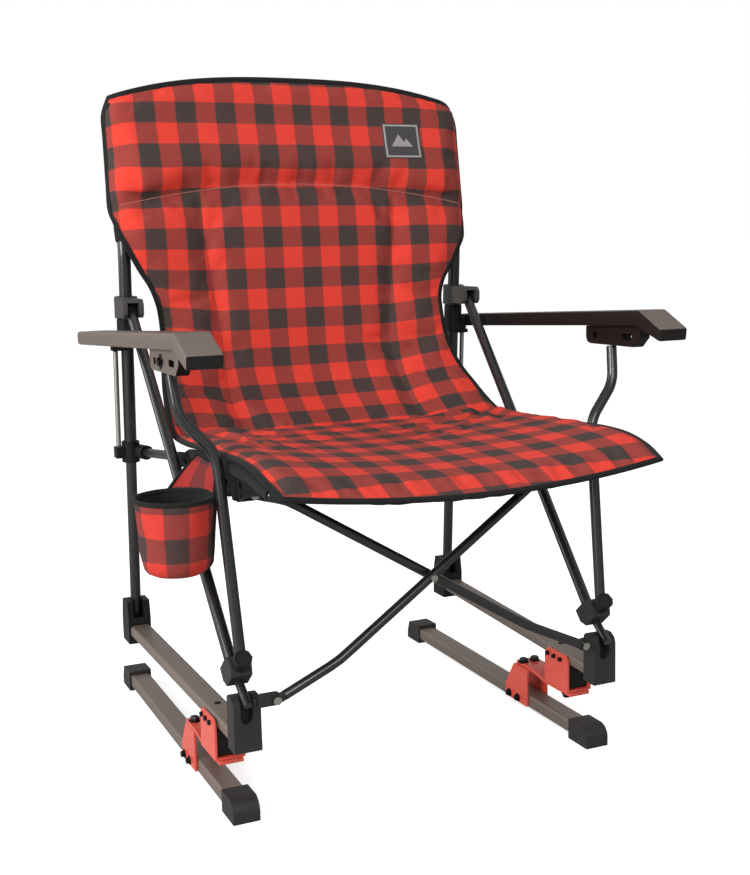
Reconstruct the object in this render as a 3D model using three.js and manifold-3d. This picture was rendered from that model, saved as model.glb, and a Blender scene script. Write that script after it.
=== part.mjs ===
// Camp rocking chair: two steel side frames on leaf springs, joined by a folding X brace,
// with a padded fabric sling, hard armrests and a fabric cup holder.
// Millimetres. +Z is up, the sitter faces -Y, and +X is the sitter's left.
// The origin is the middle of the whole chair's plan, on the floor.

import * as THREE from "three";
import * as BufferGeometryUtils from "three/addons/utils/BufferGeometryUtils.js";
import Module from "manifold-3d";

const wasm = await Module();
wasm.setup();

// ---------------------------------------------------------------- driving dimensions

const GAP = 0.3; // left between pieces that touch
const CENTRING = new THREE.Vector3(14.25, -3, 0); // the frame is drawn about its own middle plane, then
// moved by this, because the cup holder makes the chair wider on the sitter's right
const ROUND_SIDES = 20; // facets round a tube

// Floor rails
const BASE_X = 252.5; // middle of a floor rail
const BASE_FRONT = -200;
const BASE_REAR = 356;
const BASE_RAIL_WIDTH = 29;
const BASE_RAIL_LOW = 6;
const BASE_RAIL_HIGH = 25;
const CAP_WIDTH = 35;
const CAP_HEIGHT = 29;
const FRONT_CAP_LENGTH = 46;
const REAR_CAP_LENGTH = 43;

// Rocker springs
const SADDLE_FRONT = -45;
const SADDLE_REAR = 15;
const SADDLE_TOP = 64;
const SADDLE_LOW = 8;
const CRADLE_FRONT = -151;
const CRADLE_REAR = -92;
const CRADLE_FLOOR = 64;
const CRADLE_TOP = 117;
const BRACKET_SHEET = 3.5; // steel sheet of both brackets
const SPRING_THICK = 5;
const SPRING_WIDTH = 32;

// Lower side rail, which leans out a little towards the back
const RAIL_WIDTH = 30;
const RAIL_HEIGHT = 17;
const RAIL_END_GAP = 0.9; // its square ends meet boots that stand straight
const RAIL_FRONT = new THREE.Vector3(253, -190, 110.6);
const RAIL_REAR = new THREE.Vector3(265.5, 243, 118.6);

// Boots on the lower rail
const BOOT_WIDTH = 34.5;
const BOOT_LOW = 96.5;
const FRONT_BOOT_FRONT = -216;
const FRONT_BOOT_TOP = 164;
const REAR_BOOT_TOP = 163;
const REAR_BOOT_LEDGE = 138; // above it the socket is open at the front

// Back post: a straight inner tube in the rear boot, and an outer tube that slides on it
const POST_X = 266;
const POST_LEAN = 0.0629; // how far the posts lean forward per millimetre of height
const POST_Y_AT_FLOOR = 272.2;
const INNER_POST_RADIUS = 7.7;
const OUTER_POST_RADIUS = 9;
const POST_BORE = 8.2;
const OUTER_POST_LOW = 380;
const POST_BEND = 676;
const POST_TOP = new THREE.Vector3(267, 256, 884);
const HUB_BORE = 9.5;
const STRUT_X = 283.5; // the strut runs beside the post
const STRUT_RADIUS = 3.5;

// Diagonal leg, from the front hub up to the upper hub
const LEG_RADIUS = 7.5;
const LEG_LOW = new THREE.Vector3(255.1, -177.7, 183.9);
const LEG_HIGH = new THREE.Vector3(268.6, 184, 588);
const HUB_MIDDLE = new THREE.Vector3(254.2, -187.7, 189.8);

// Folding X brace
const PIVOT_X = 217; // both pivots of a side stand this far out
const LOWER_PIVOT = new THREE.Vector3(PIVOT_X, -222, 157);
const UPPER_PIVOT = new THREE.Vector3(PIVOT_X, -164, 394.6);
const FRONT_AXIS = new THREE.Vector3(0, -1, -POST_LEAN).normalize(); // the brace's hinges point along it
const CROSSING = new THREE.Vector3().addVectors(LOWER_PIVOT, UPPER_PIVOT).multiplyScalar(0.5).setX(0);
const LOWER_KINK = new THREE.Vector3(137, -211, 192); // a bar is straight between its kinks
const UPPER_KINK = new THREE.Vector3(176, -169.7, 383.6);
const BAR_RADIUS = 6.2;
const BAR_SPREAD = 7.9; // each bar passes this far in front of or behind the crossing
const TONGUE_THICK = 4; // flattened end of a bar
const TONGUE_OFFSET = -4.1; // its rear face, measured forward from the pivot
const LUG_THICK = 6;
const LUG_OFFSET = TONGUE_OFFSET - GAP - LUG_THICK;
const LUG_RADIUS = 8;

const SEAT_RAIL_RADIUS = 6.5;

// Armrest
const POST_RADIUS = 7; // the armrest's own front post
const ARM_INNER = 285;
const ARM_OUTER = 328;
const ARM_REAR = 285;
const ARM_THICK = 19;
const ARM_TOP_REAR = 568;
const ARM_TOP_FRONT = 598;
const ARM_FLARE_START = -233;
const ARM_FRONT = -279;
const ARM_FLARE_DROP = 22;

// Fabric
const SLING_THICK = 9;
const SEAT_SAG = 22;
const CUP_CENTRE = new THREE.Vector3(-307.5, -136, 0);
const CUP_RIM = 396;
const CUP_FLOOR = 306;
const CUP_RIM_RADIUS = 49;
const CUP_FLOOR_RADIUS = 41;
const CUP_WALL = 2.5;

// ---------------------------------------------------------------- materials

const finish = {
  taupe_steel: { color: 0x8f8278, roughness: 0.45, metalness: 0.3 },
  red_steel: { color: 0xd84a38, roughness: 0.35, metalness: 0.2 },
  black_steel: { color: 0x1d1b1b, roughness: 0.3, metalness: 0.4 },
  grey_plastic: { color: 0x4a4947, roughness: 0.55, metalness: 0 },
  black_plastic: { color: 0x1a1a1a, roughness: 0.5, metalness: 0 },
  arm_plastic: { color: 0x6f655c, roughness: 0.5, metalness: 0 },
  bright_steel: { color: 0x9b9690, roughness: 0.3, metalness: 0.8 },
  check_fabric: { color: 0xa83a34, roughness: 0.9, metalness: 0 },
};

const chair = new THREE.Group();

function part(name, geometry, surface) {
  const placed = geometry.clone().translate(CENTRING.x, CENTRING.y, CENTRING.z);
  const mesh = new THREE.Mesh(placed, new THREE.MeshStandardMaterial(finish[surface]));
  mesh.name = name;
  chair.add(mesh);
  return mesh;
}

// ---------------------------------------------------------------- solid helpers

function toManifold(geometry) {
  const plain = geometry.index ? geometry.toNonIndexed() : geometry.clone();
  plain.deleteAttribute("normal");
  plain.deleteAttribute("uv");
  const merged = BufferGeometryUtils.mergeVertices(plain, 1e-4);
  const mesh = new wasm.Mesh({
    numProp: 3,
    vertProperties: Float32Array.from(merged.attributes.position.array),
    triVerts: Uint32Array.from(merged.index.array),
  });
  return new wasm.Manifold(mesh);
}

function fromManifold(solid) {
  const mesh = solid.getMesh();
  const geometry = new THREE.BufferGeometry();
  geometry.setAttribute("position", new THREE.BufferAttribute(mesh.vertProperties, 3));
  geometry.setIndex(new THREE.BufferAttribute(mesh.triVerts, 1));
  geometry.computeVertexNormals();
  return geometry;
}

function join(...geometries) {
  return fromManifold(geometries.map(toManifold).reduce((whole, next) => whole.add(next)));
}

function cut(body, ...tools) {
  return fromManifold(tools.map(toManifold).reduce((whole, tool) => whole.subtract(tool), toManifold(body)));
}

// Mirrors a left-hand solid to the other side and keeps its faces pointing out
function mirrored(geometry) {
  const copy = geometry.index ? geometry.toNonIndexed() : geometry.clone();
  copy.scale(-1, 1, 1);
  const points = copy.attributes.position;
  for (let i = 0; i < points.count; i += 3) {
    const second = new THREE.Vector3().fromBufferAttribute(points, i + 1);
    const third = new THREE.Vector3().fromBufferAttribute(points, i + 2);
    points.setXYZ(i + 1, third.x, third.y, third.z);
    points.setXYZ(i + 2, second.x, second.y, second.z);
  }
  copy.deleteAttribute("normal");
  copy.deleteAttribute("uv");
  const merged = BufferGeometryUtils.mergeVertices(copy, 1e-4);
  merged.computeVertexNormals();
  return merged;
}

// One piece on each side of the chair
function pair(name, geometry, surface) {
  part(`${name}_left`, geometry, surface);
  part(`${name}_right`, mirrored(geometry), surface);
}

function box(low, high) {
  const size = new THREE.Vector3().subVectors(high, low);
  const middle = new THREE.Vector3().addVectors(low, high).multiplyScalar(0.5);
  return new THREE.BoxGeometry(size.x, size.y, size.z).translate(middle.x, middle.y, middle.z);
}

function v(x, y, z) {
  return new THREE.Vector3(x, y, z);
}

// Round bar between two points
function rod(from, to, radius, sides = ROUND_SIDES) {
  const along = new THREE.Vector3().subVectors(to, from);
  const turn = new THREE.Quaternion().setFromUnitVectors(v(0, 1, 0), along.clone().normalize());
  const middle = new THREE.Vector3().addVectors(from, to).multiplyScalar(0.5);
  return new THREE.CylinderGeometry(radius, radius, along.length(), sides)
    .applyQuaternion(turn)
    .translate(middle.x, middle.y, middle.z);
}

function circle(radius, sides) {
  const shape = new THREE.Shape();
  for (let i = 0; i < sides; i += 1) {
    const angle = (i / sides) * 2 * Math.PI;
    if (i === 0) shape.moveTo(radius, 0);
    else shape.lineTo(radius * Math.cos(angle), radius * Math.sin(angle));
  }
  shape.closePath();
  return shape;
}

// Bent round bar through a list of points, with each corner eased over a bend length
class BentLine extends THREE.Curve {
  constructor(points, ease) {
    super();
    this.path = new THREE.CurvePath();
    let start = points[0];
    for (let i = 1; i < points.length - 1; i += 1) {
      const before = points[i].clone().sub(points[i - 1]).setLength(ease);
      const after = points[i + 1].clone().sub(points[i]).setLength(ease);
      const enter = points[i].clone().sub(before);
      const leave = points[i].clone().add(after);
      this.path.add(new THREE.LineCurve3(start, enter));
      this.path.add(new THREE.QuadraticBezierCurve3(enter, points[i], leave));
      start = leave;
    }
    this.path.add(new THREE.LineCurve3(start, points[points.length - 1]));
  }

  getPoint(t, target = new THREE.Vector3()) {
    return target.copy(this.path.getPoint(t));
  }
}

function bentRod(points, radius, ease, steps) {
  const settings = { steps, extrudePath: new BentLine(points, ease), bevelEnabled: false };
  return new THREE.ExtrudeGeometry(circle(radius, ROUND_SIDES), settings);
}

// Flat outline in the Y-Z plane, given as [y, z] pairs, made thick along X
function plateYZ(outline, lowX, highX, holes = []) {
  const shape = new THREE.Shape(outline.map(([y, z]) => new THREE.Vector2(y, z)));
  shape.holes = holes.map((hole) => new THREE.Path(hole.map(([y, z]) => new THREE.Vector2(y, z))));
  const settings = { depth: highX - lowX, bevelEnabled: false };
  const solid = new THREE.ExtrudeGeometry(shape, settings);
  solid.applyMatrix4(new THREE.Matrix4().makeBasis(v(0, 1, 0), v(0, 0, 1), v(1, 0, 0)));
  return solid.translate(lowX, 0, 0);
}

function ring([y, z], radius, sides = 12) {
  const points = [];
  for (let i = 0; i < sides; i += 1) {
    const angle = (i / sides) * 2 * Math.PI;
    points.push([y + radius * Math.cos(angle), z + radius * Math.sin(angle)]);
  }
  return points;
}

function slotOutline([y, z], length, height) {
  const points = [];
  const reach = (length - height) / 2;
  for (let i = 0; i <= 8; i += 1) {
    const angle = -Math.PI / 2 + (i / 8) * Math.PI;
    points.push([y + reach + (height / 2) * Math.cos(angle), z + (height / 2) * Math.sin(angle)]);
  }
  for (let i = 0; i <= 8; i += 1) {
    const angle = Math.PI / 2 + (i / 8) * Math.PI;
    points.push([y - reach + (height / 2) * Math.cos(angle), z + (height / 2) * Math.sin(angle)]);
  }
  return points;
}

// Rounded rectangle that runs along a straight line
function rectTube(from, to, width, height, corner) {
  const shape = new THREE.Shape();
  const w = width / 2;
  const h = height / 2;
  shape.moveTo(-w + corner, -h);
  shape.lineTo(w - corner, -h);
  shape.quadraticCurveTo(w, -h, w, -h + corner);
  shape.lineTo(w, h - corner);
  shape.quadraticCurveTo(w, h, w - corner, h);
  shape.lineTo(-w + corner, h);
  shape.quadraticCurveTo(-w, h, -w, h - corner);
  shape.lineTo(-w, -h + corner);
  shape.quadraticCurveTo(-w, -h, -w + corner, -h);
  const along = new THREE.Vector3().subVectors(to, from);
  const settings = { depth: along.length(), bevelEnabled: false, curveSegments: 4 };
  const solid = new THREE.ExtrudeGeometry(shape, settings);
  const forward = along.normalize();
  const side = new THREE.Vector3().crossVectors(v(0, 0, 1), forward).normalize();
  const up = new THREE.Vector3().crossVectors(forward, side);
  solid.applyMatrix4(new THREE.Matrix4().makeBasis(side, up, forward));
  return solid.translate(from.x, from.y, from.z);
}

// Middle of the back posts at a height
function postAt(z, x = POST_X) {
  return v(x, POST_Y_AT_FLOOR - POST_LEAN * z, z);
}

// Closed slab on both sides of a surface; surface(u, w) gives the middle of the cloth
function slab(surface, thickness, across, along) {
  const point = (i, j) => surface(i / across, j / along);
  const normal = (i, j) => {
    const step = 0.002;
    const u = i / across;
    const w = j / along;
    const du = surface(Math.min(u + step, 1), w).sub(surface(Math.max(u - step, 0), w));
    const dw = surface(u, Math.min(w + step, 1)).sub(surface(u, Math.max(w - step, 0)));
    return du.cross(dw).normalize();
  };
  const positions = [];
  for (const side of [1, -1]) {
    for (let j = 0; j <= along; j += 1) {
      for (let i = 0; i <= across; i += 1) {
        positions.push(...point(i, j).addScaledVector(normal(i, j), (side * thickness) / 2).toArray());
      }
    }
  }
  const row = across + 1;
  const layer = row * (along + 1);
  const index = [];
  const quad = (a, b, c, d) => index.push(a, b, c, a, c, d);
  for (let j = 0; j < along; j += 1) {
    for (let i = 0; i < across; i += 1) {
      const a = j * row + i;
      quad(a, a + 1, a + row + 1, a + row);
      quad(layer + a, layer + a + row, layer + a + row + 1, layer + a + 1);
    }
  }
  const edge = [];
  for (let i = 0; i < across; i += 1) edge.push(i);
  for (let j = 0; j < along; j += 1) edge.push(j * row + across);
  for (let i = across; i > 0; i -= 1) edge.push(along * row + i);
  for (let j = along; j > 0; j -= 1) edge.push(j * row);
  edge.forEach((a, k) => {
    const b = edge[(k + 1) % edge.length];
    quad(b, a, layer + a, layer + b);
  });
  const geometry = new THREE.BufferGeometry();
  geometry.setAttribute("position", new THREE.Float32BufferAttribute(positions, 3));
  geometry.setIndex(index);
  geometry.computeVertexNormals();
  return geometry;
}

// ---------------------------------------------------------------- floor rails

function baseFrontCap() {
  const rear = BASE_FRONT + FRONT_CAP_LENGTH;
  const nose = 17; // radius of the rounded top edge at the front
  const outline = [[rear, 0], [rear, CAP_HEIGHT]];
  for (let i = 0; i <= 6; i += 1) {
    const angle = Math.PI / 2 + (i / 6) * (Math.PI / 2);
    outline.push([BASE_FRONT + nose + nose * Math.cos(angle), CAP_HEIGHT - nose + nose * Math.sin(angle)]);
  }
  outline.push([BASE_FRONT, 0]);
  const half = CAP_WIDTH / 2;
  const socket = box(
    v(BASE_X - BASE_RAIL_WIDTH / 2 - GAP, rear - 22, BASE_RAIL_LOW - GAP),
    v(BASE_X + BASE_RAIL_WIDTH / 2 + GAP, rear + 1, BASE_RAIL_HIGH + GAP),
  );
  return cut(plateYZ(outline.reverse(), BASE_X - half, BASE_X + half), socket);
}

function baseRearCap() {
  const front = BASE_REAR - REAR_CAP_LENGTH;
  const slope = 6; // the back face leans in by this much at the top
  const outline = [
    [front, 0],
    [BASE_REAR, 0],
    [BASE_REAR, 12],
    [BASE_REAR - slope, CAP_HEIGHT + 1],
    [front, CAP_HEIGHT + 2],
  ];
  const half = CAP_WIDTH / 2;
  const socket = box(
    v(BASE_X - BASE_RAIL_WIDTH / 2 - GAP, front - 1, BASE_RAIL_LOW - GAP),
    v(BASE_X + BASE_RAIL_WIDTH / 2 + GAP, front + 22, BASE_RAIL_HIGH + GAP),
  );
  return cut(plateYZ(outline, BASE_X - half, BASE_X + half), socket);
}

function baseRail() {
  const middle = (BASE_RAIL_LOW + BASE_RAIL_HIGH) / 2;
  const inset = 25; // the rail ends this far inside each cap's outer end
  return rectTube(
    v(BASE_X, BASE_FRONT + inset, middle),
    v(BASE_X, BASE_REAR - inset, middle),
    BASE_RAIL_WIDTH,
    BASE_RAIL_HIGH - BASE_RAIL_LOW,
    4,
  );
}

// ---------------------------------------------------------------- rocker springs

// Inverted U that sits over the floor rail
function saddleBracket() {
  const inner = BASE_RAIL_WIDTH / 2 + GAP;
  const outer = inner + BRACKET_SHEET;
  const wall = [
    [SADDLE_FRONT, SADDLE_LOW],
    [SADDLE_REAR, SADDLE_LOW],
    [SADDLE_REAR + 2, SADDLE_LOW + 18],
    [SADDLE_REAR - 22, SADDLE_TOP],
    [SADDLE_FRONT, SADDLE_TOP],
  ];
  const block = plateYZ(wall, BASE_X - outer, BASE_X + outer);
  const hollow = box(
    v(BASE_X - inner, SADDLE_FRONT - 10, -10),
    v(BASE_X + inner, SADDLE_REAR + 10, SADDLE_TOP - BRACKET_SHEET),
  );
  return cut(block, hollow);
}

// Upward U that holds the lower side rail
function cradleBracket() {
  const x = railXAt((CRADLE_FRONT + CRADLE_REAR) / 2);
  const inner = RAIL_WIDTH / 2 + 1.2;
  const outer = inner + BRACKET_SHEET;
  const wall = [
    [CRADLE_FRONT, CRADLE_FLOOR],
    [CRADLE_REAR, CRADLE_FLOOR],
    [CRADLE_REAR, CRADLE_TOP - 8],
    [CRADLE_REAR - 9, CRADLE_TOP],
    [CRADLE_FRONT + 6, CRADLE_TOP],
    [CRADLE_FRONT, CRADLE_TOP - 6],
  ];
  const block = plateYZ(wall, x - outer, x + outer);
  const hollow = box(
    v(x - inner, CRADLE_FRONT - 10, CRADLE_FLOOR + BRACKET_SHEET),
    v(x + inner, CRADLE_REAR + 10, CRADLE_TOP + 10),
  );
  return cut(block, hollow);
}

// Spring plate from the saddle's top down to the underside of the cradle
function leafSpring() {
  const high = SADDLE_TOP + GAP;
  const low = CRADLE_FLOOR - GAP - SPRING_THICK;
  const middle = (SADDLE_FRONT + CRADLE_REAR) / 2;
  const rise = high - low;
  const steps = 10;
  const bottom = [[SADDLE_REAR - 24, high]];
  for (let i = 0; i <= steps; i += 1) {
    const t = i / steps;
    const ease = (1 + Math.cos(Math.PI * t)) / 2;
    const y = SADDLE_FRONT + 1 + (CRADLE_REAR - SADDLE_FRONT - 2) * t;
    bottom.push([y, low + rise * ease]);
  }
  bottom.push([CRADLE_FRONT - 2, low]);
  const top = bottom.map(([y, z]) => [y, z + SPRING_THICK]).reverse();
  const x = (BASE_X + railXAt(middle)) / 2;
  return plateYZ([...bottom, ...top].reverse(), x - SPRING_WIDTH / 2, x + SPRING_WIDTH / 2);
}

// ---------------------------------------------------------------- lower side frame

function railXAt(y) {
  const t = (y - RAIL_FRONT.y) / (RAIL_REAR.y - RAIL_FRONT.y);
  return RAIL_FRONT.x + (RAIL_REAR.x - RAIL_FRONT.x) * t;
}

function lowerRail() {
  return rectTube(
    RAIL_FRONT.clone().add(v(0, RAIL_END_GAP, 0)),
    RAIL_REAR.clone().sub(v(0, RAIL_END_GAP, 0)),
    RAIL_WIDTH,
    RAIL_HEIGHT,
    6,
  );
}

// Direction from one point to another, within the plane that the brace folds in
function foldDirection(from, to) {
  const across = new THREE.Vector3().subVectors(to, from);
  return across.addScaledVector(FRONT_AXIS, -across.dot(FRONT_AXIS)).normalize();
}

// Flat tongue with a round end on a pivot, standing square to the brace's hinge axis
function pivotTongue(pivot, towards, length, radius, thickness, offset) {
  const across = foldDirection(pivot, towards);
  const shape = new THREE.Shape();
  shape.moveTo(length, radius);
  shape.lineTo(0, radius);
  for (let i = 1; i < 10; i += 1) {
    const angle = Math.PI / 2 + (i / 10) * Math.PI;
    shape.lineTo(radius * Math.cos(angle), radius * Math.sin(angle));
  }
  shape.lineTo(0, -radius);
  shape.lineTo(length, -radius);
  const solid = new THREE.ExtrudeGeometry(shape, { depth: thickness, bevelEnabled: false });
  const up = new THREE.Vector3().crossVectors(FRONT_AXIS, across);
  solid.applyMatrix4(new THREE.Matrix4().makeBasis(across, up, FRONT_AXIS));
  const place = pivot.clone().addScaledVector(FRONT_AXIS, offset);
  return solid.translate(place.x, place.y, place.z);
}

// Moulded block at the rail's front end, with a slot for the leg and a lug for the brace
function frontBoot() {
  const half = BOOT_WIDTH / 2;
  const rear = RAIL_FRONT.y;
  const shoulder = 12;
  const outline = [
    [FRONT_BOOT_FRONT, BOOT_LOW],
    [rear, BOOT_LOW],
    [rear, FRONT_BOOT_TOP - 4],
    [rear - 4, FRONT_BOOT_TOP],
    [FRONT_BOOT_FRONT + shoulder, FRONT_BOOT_TOP],
    [FRONT_BOOT_FRONT + 4, FRONT_BOOT_TOP - 5],
    [FRONT_BOOT_FRONT + 1, FRONT_BOOT_TOP - shoulder],
  ];
  const block = plateYZ(outline, BASE_X - half, BASE_X + half);
  const slotHalf = 8.2;
  const slotFloor = 131 + slotHalf;
  const slotBack = FRONT_BOOT_FRONT + 17;
  const slot = join(
    box(v(BASE_X - slotHalf, FRONT_BOOT_FRONT - 5, slotFloor), v(BASE_X + slotHalf, slotBack, 200)),
    rod(v(BASE_X, FRONT_BOOT_FRONT - 5, slotFloor), v(BASE_X, slotBack, slotFloor), slotHalf),
  );
  const outwards = v(300, LOWER_PIVOT.y, LOWER_PIVOT.z);
  const lug = pivotTongue(LOWER_PIVOT, outwards, 22, LUG_RADIUS, LUG_THICK, LUG_OFFSET);
  return cut(join(block, lug), slot);
}

function rearBoot() {
  const centre = postAt(REAR_BOOT_TOP);
  const half = 17;
  const block = plateYZ(
    [
      [243, BOOT_LOW + 2],
      [281, BOOT_LOW + 2],
      [281, 136],
      [275, REAR_BOOT_TOP],
      [centre.y - 15, REAR_BOOT_TOP],
      [243, 140],
    ],
    POST_X - half,
    POST_X + half,
  );
  const socket = INNER_POST_RADIUS + GAP;
  const channel = box(v(POST_X - socket, 200, REAR_BOOT_LEDGE), v(POST_X + socket, centre.y, 200));
  return cut(block, rod(postAt(109.5), postAt(200), socket), channel);
}

function innerPost() {
  return rod(postAt(110), postAt(POST_BEND - 6), INNER_POST_RADIUS);
}

// ---------------------------------------------------------------- upper side frame

function backPost() {
  const straight = rod(postAt(OUTER_POST_LOW), postAt(POST_BEND), OUTER_POST_RADIUS);
  const bend = bentRod(
    [postAt(POST_BEND - 1), postAt(POST_BEND + 12), v(POST_TOP.x, 236, 750), POST_TOP],
    OUTER_POST_RADIUS,
    11,
    12,
  );
  const bore = rod(postAt(OUTER_POST_LOW - 5), postAt(POST_BEND - 3), POST_BORE);
  return cut(join(straight, bend), bore);
}

function collar(low, high, radius) {
  return rod(postAt(low), postAt(high), radius);
}

function collarBore() {
  return rod(postAt(340), postAt(650), HUB_BORE);
}

// Slider at the foot of the outer tube, with an ear for the strut and a boss for the seat rail
function rearSlider() {
  const middle = postAt(392);
  const ear = box(v(POST_X, middle.y - 9, 383), v(STRUT_X + 5.5, middle.y + 9, 399));
  const boss = rod(v(257, middle.y, 391), v(250.5, middle.y - 34, 392.5), 10.5);
  return cut(join(collar(376, 406, 13), ear, boss), collarBore());
}

function armClamp() {
  const middle = postAt(560);
  const ear = box(v(POST_X, middle.y - 11, 548), v(ARM_INNER - GAP, middle.y + 11, 566));
  const lip = box(v(POST_X, middle.y - 9, 541), v(STRUT_X + 5.5, middle.y + 9, 547));
  return cut(join(collar(545, 586, 14), ear, lip), collarBore());
}

function strut() {
  return rod(postAt(399.7, STRUT_X), postAt(540.3, STRUT_X), STRUT_RADIUS, 16);
}

// Clamp on the post with a fork that takes the top of the diagonal leg
function upperHub() {
  const middle = postAt(603);
  const cheek = [
    [middle.y, 590],
    [184, 590],
    [178, 596],
    [178, 610],
    [184, 616],
    [middle.y, 616],
  ];
  const cheeks = plateYZ(cheek.reverse(), 254, 283);
  const throat = box(v(260.3, 100, 580), v(277.2, 206, 611));
  return cut(join(collar(588, 618, 16.5), cheeks), throat, collarBore());
}

function diagonalLeg() {
  return rod(LEG_LOW, LEG_HIGH.clone().add(v(0.4, 9, 10)), LEG_RADIUS);
}

// Block on the leg's foot, six-sided as seen from the side
function frontHub() {
  const outline = [
    [-13, -13],
    [-13, 12],
    [-4, 18],
    [8, 18],
    [15, 8],
    [15, -22],
    [-2, -22],
  ].map(([along, ahead]) => hubPoint(along, ahead));
  const block = plateYZ(outline, 241, 267.5);
  const leg = rod(LEG_LOW.clone().sub(v(0.1, 0.3, 0.3)), v(270, 250, 661), LEG_RADIUS + GAP);
  const post = rod(v(253.4, -202.6, 200), v(256.8, -185, 300), POST_RADIUS + GAP);
  return cut(block, leg, post);
}

// A point in the Y-Z plane, measured from the hub's middle up the leg and square to it, to the front
function hubPoint(along, ahead) {
  const up = v(0, LEG_HIGH.y - LEG_LOW.y, LEG_HIGH.z - LEG_LOW.z).normalize();
  return [HUB_MIDDLE.y + up.y * along - up.z * ahead, HUB_MIDDLE.z + up.z * along + up.y * ahead];
}

// Eight-sided clamp in front of the hub that holds the lower end of the armrest's post
function postClamp() {
  const [rearY, rearZ] = hubPoint(0, 18 + GAP);
  const [frontY, frontZ] = hubPoint(0, 34);
  const block = rod(v(HUB_MIDDLE.x, rearY, rearZ), v(HUB_MIDDLE.x, frontY, frontZ), 11.5, 8);
  const post = rod(v(253.4, -202.6, 200), v(256.8, -185, 300), POST_RADIUS + GAP);
  return cut(block, post);
}

function armPost() {
  const points = [
    v(253.5, -202.4, 201),
    v(261.3, -166, 421),
    v(264.3, -161, 452),
    v(301, -153.3, 491),
    v(305.3, -151, 509),
    v(307.9, -142.7, 544.2),
  ];
  return bentRod(points, POST_RADIUS, 11, 26);
}

// End of the leg, which stands in the front boot's slot when the chair is open
function footPlug() {
  return rod(v(253.9, -193.4, 174.8), v(253, -221, 155.5), 5.6);
}

function armTopAt(y) {
  const t = (ARM_REAR - y) / (ARM_REAR - ARM_FLARE_START);
  return ARM_TOP_REAR + (ARM_TOP_FRONT - ARM_TOP_REAR) * t;
}

function armrest() {
  const top = ARM_TOP_FRONT - ARM_FLARE_DROP;
  const outline = [
    [ARM_REAR, ARM_TOP_REAR - ARM_THICK + 5],
    [ARM_REAR - 6, ARM_TOP_REAR - ARM_THICK],
    [ARM_FLARE_START + 8, ARM_TOP_FRONT - ARM_THICK - 1],
    [ARM_FRONT + 2, top - 16],
    [ARM_FRONT, top],
    [ARM_FLARE_START, ARM_TOP_FRONT],
    [ARM_REAR - 5, ARM_TOP_REAR],
    [ARM_REAR, ARM_TOP_REAR - 5],
  ];
  return plateYZ(outline, ARM_INNER, ARM_OUTER);
}

// Moulded web under the armrest that holds the post's top
function armBracket() {
  const under = (y) => armTopAt(y) - ARM_THICK - 1 - GAP;
  const rear = -90;
  const front = -214;
  const outline = [
    [rear - 10, 545.6],
    [rear - 3, 548],
    [rear, 554],
    [rear, under(rear)],
    [front, under(front)],
    [front, 560],
    [front + 14, 547],
  ];
  const holes = [ring([-112, 557.5], 5), slotOutline([-185, 560], 23, 8)];
  return plateYZ(outline, 302, 318, holes);
}

function seatRail() {
  const points = [
    v(250.3, postAt(392).y - 34 - 2, 392.6),
    v(240, 100, 404),
    v(240, -90, 428.3),
    v(241, -215, 429.4),
    v(243.5, -285, 424.2),
    v(244.5, -307, 421.2),
  ];
  return bentRod(points, SEAT_RAIL_RADIUS, 18, 18);
}

// Plate under the rail's front half that carries the brace's upper pivot
function frontSeatBracket() {
  const outline = [
    [-112, 390],
    [-112, 419],
    [-170, 421.5],
    [-256, 417.5],
    [-250, 411],
    [-205, 402],
    [-178, 394.5],
    [-168, 389.5],
    [-148, 388],
    [-143, 396],
    [-136, 396],
    [-132, 389],
  ];
  const holes = [ring([-127, 407], 4), ring([-179, 411], 5.2), ring([-182, 400.5], 2.6)];
  const plate = plateYZ(outline.reverse(), 234, 240, holes);
  const outwards = v(300, UPPER_PIVOT.y, UPPER_PIVOT.z);
  const lug = pivotTongue(UPPER_PIVOT, outwards, 20, LUG_RADIUS, LUG_THICK, LUG_OFFSET);
  return join(plate, lug);
}

// Plate between the rail and the diagonal leg
function rearSeatBracket() {
  const outline = [
    [50, 401],
    [50, 412],
    [38, 420],
    [8, 424],
    [-8, 420],
    [-8, 410],
    [12, 405],
    [32, 400],
  ];
  const holes = [ring([2, 415], 2.6), ring([40, 408], 2.6)];
  return plateYZ(outline, 248.6, 252.6, holes);
}

// ---------------------------------------------------------------- folding X brace

// A bar from the lower pivot on one side to the upper pivot on the other
function braceBar(side, spread) {
  const lower = LOWER_PIVOT.clone().setX(side * PIVOT_X);
  const upper = UPPER_PIVOT.clone().setX(-side * PIVOT_X);
  const lowerKink = LOWER_KINK.clone().setX(side * LOWER_KINK.x).addScaledVector(FRONT_AXIS, spread);
  const upperKink = UPPER_KINK.clone().setX(-side * UPPER_KINK.x).addScaledVector(FRONT_AXIS, spread);
  const crossing = CROSSING.clone().addScaledVector(FRONT_AXIS, spread);
  const middle = TONGUE_OFFSET + TONGUE_THICK / 2;
  const roundPart = 11; // the round part starts this far from each pivot
  const barEnd = (pivot, towards) => {
    const end = pivot.clone().addScaledVector(FRONT_AXIS, middle);
    return end.addScaledVector(foldDirection(pivot, towards), roundPart);
  };
  const points = [barEnd(lower, lowerKink), lowerKink, crossing, upperKink, barEnd(upper, upperKink)];
  const bar = bentRod(points, BAR_RADIUS, 11, 30);
  const tongue = (pivot, towards) =>
    pivotTongue(pivot, towards, roundPart + 8, BAR_RADIUS - 0.6, TONGUE_THICK, TONGUE_OFFSET);
  return join(bar, tongue(lower, lowerKink), tongue(upper, upperKink));
}

function braceRivet(pivot) {
  const front = pivot.clone().addScaledVector(FRONT_AXIS, TONGUE_OFFSET + TONGUE_THICK + GAP);
  return rod(front, front.clone().addScaledVector(FRONT_AXIS, 2.4), 5.2, 16);
}

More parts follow.
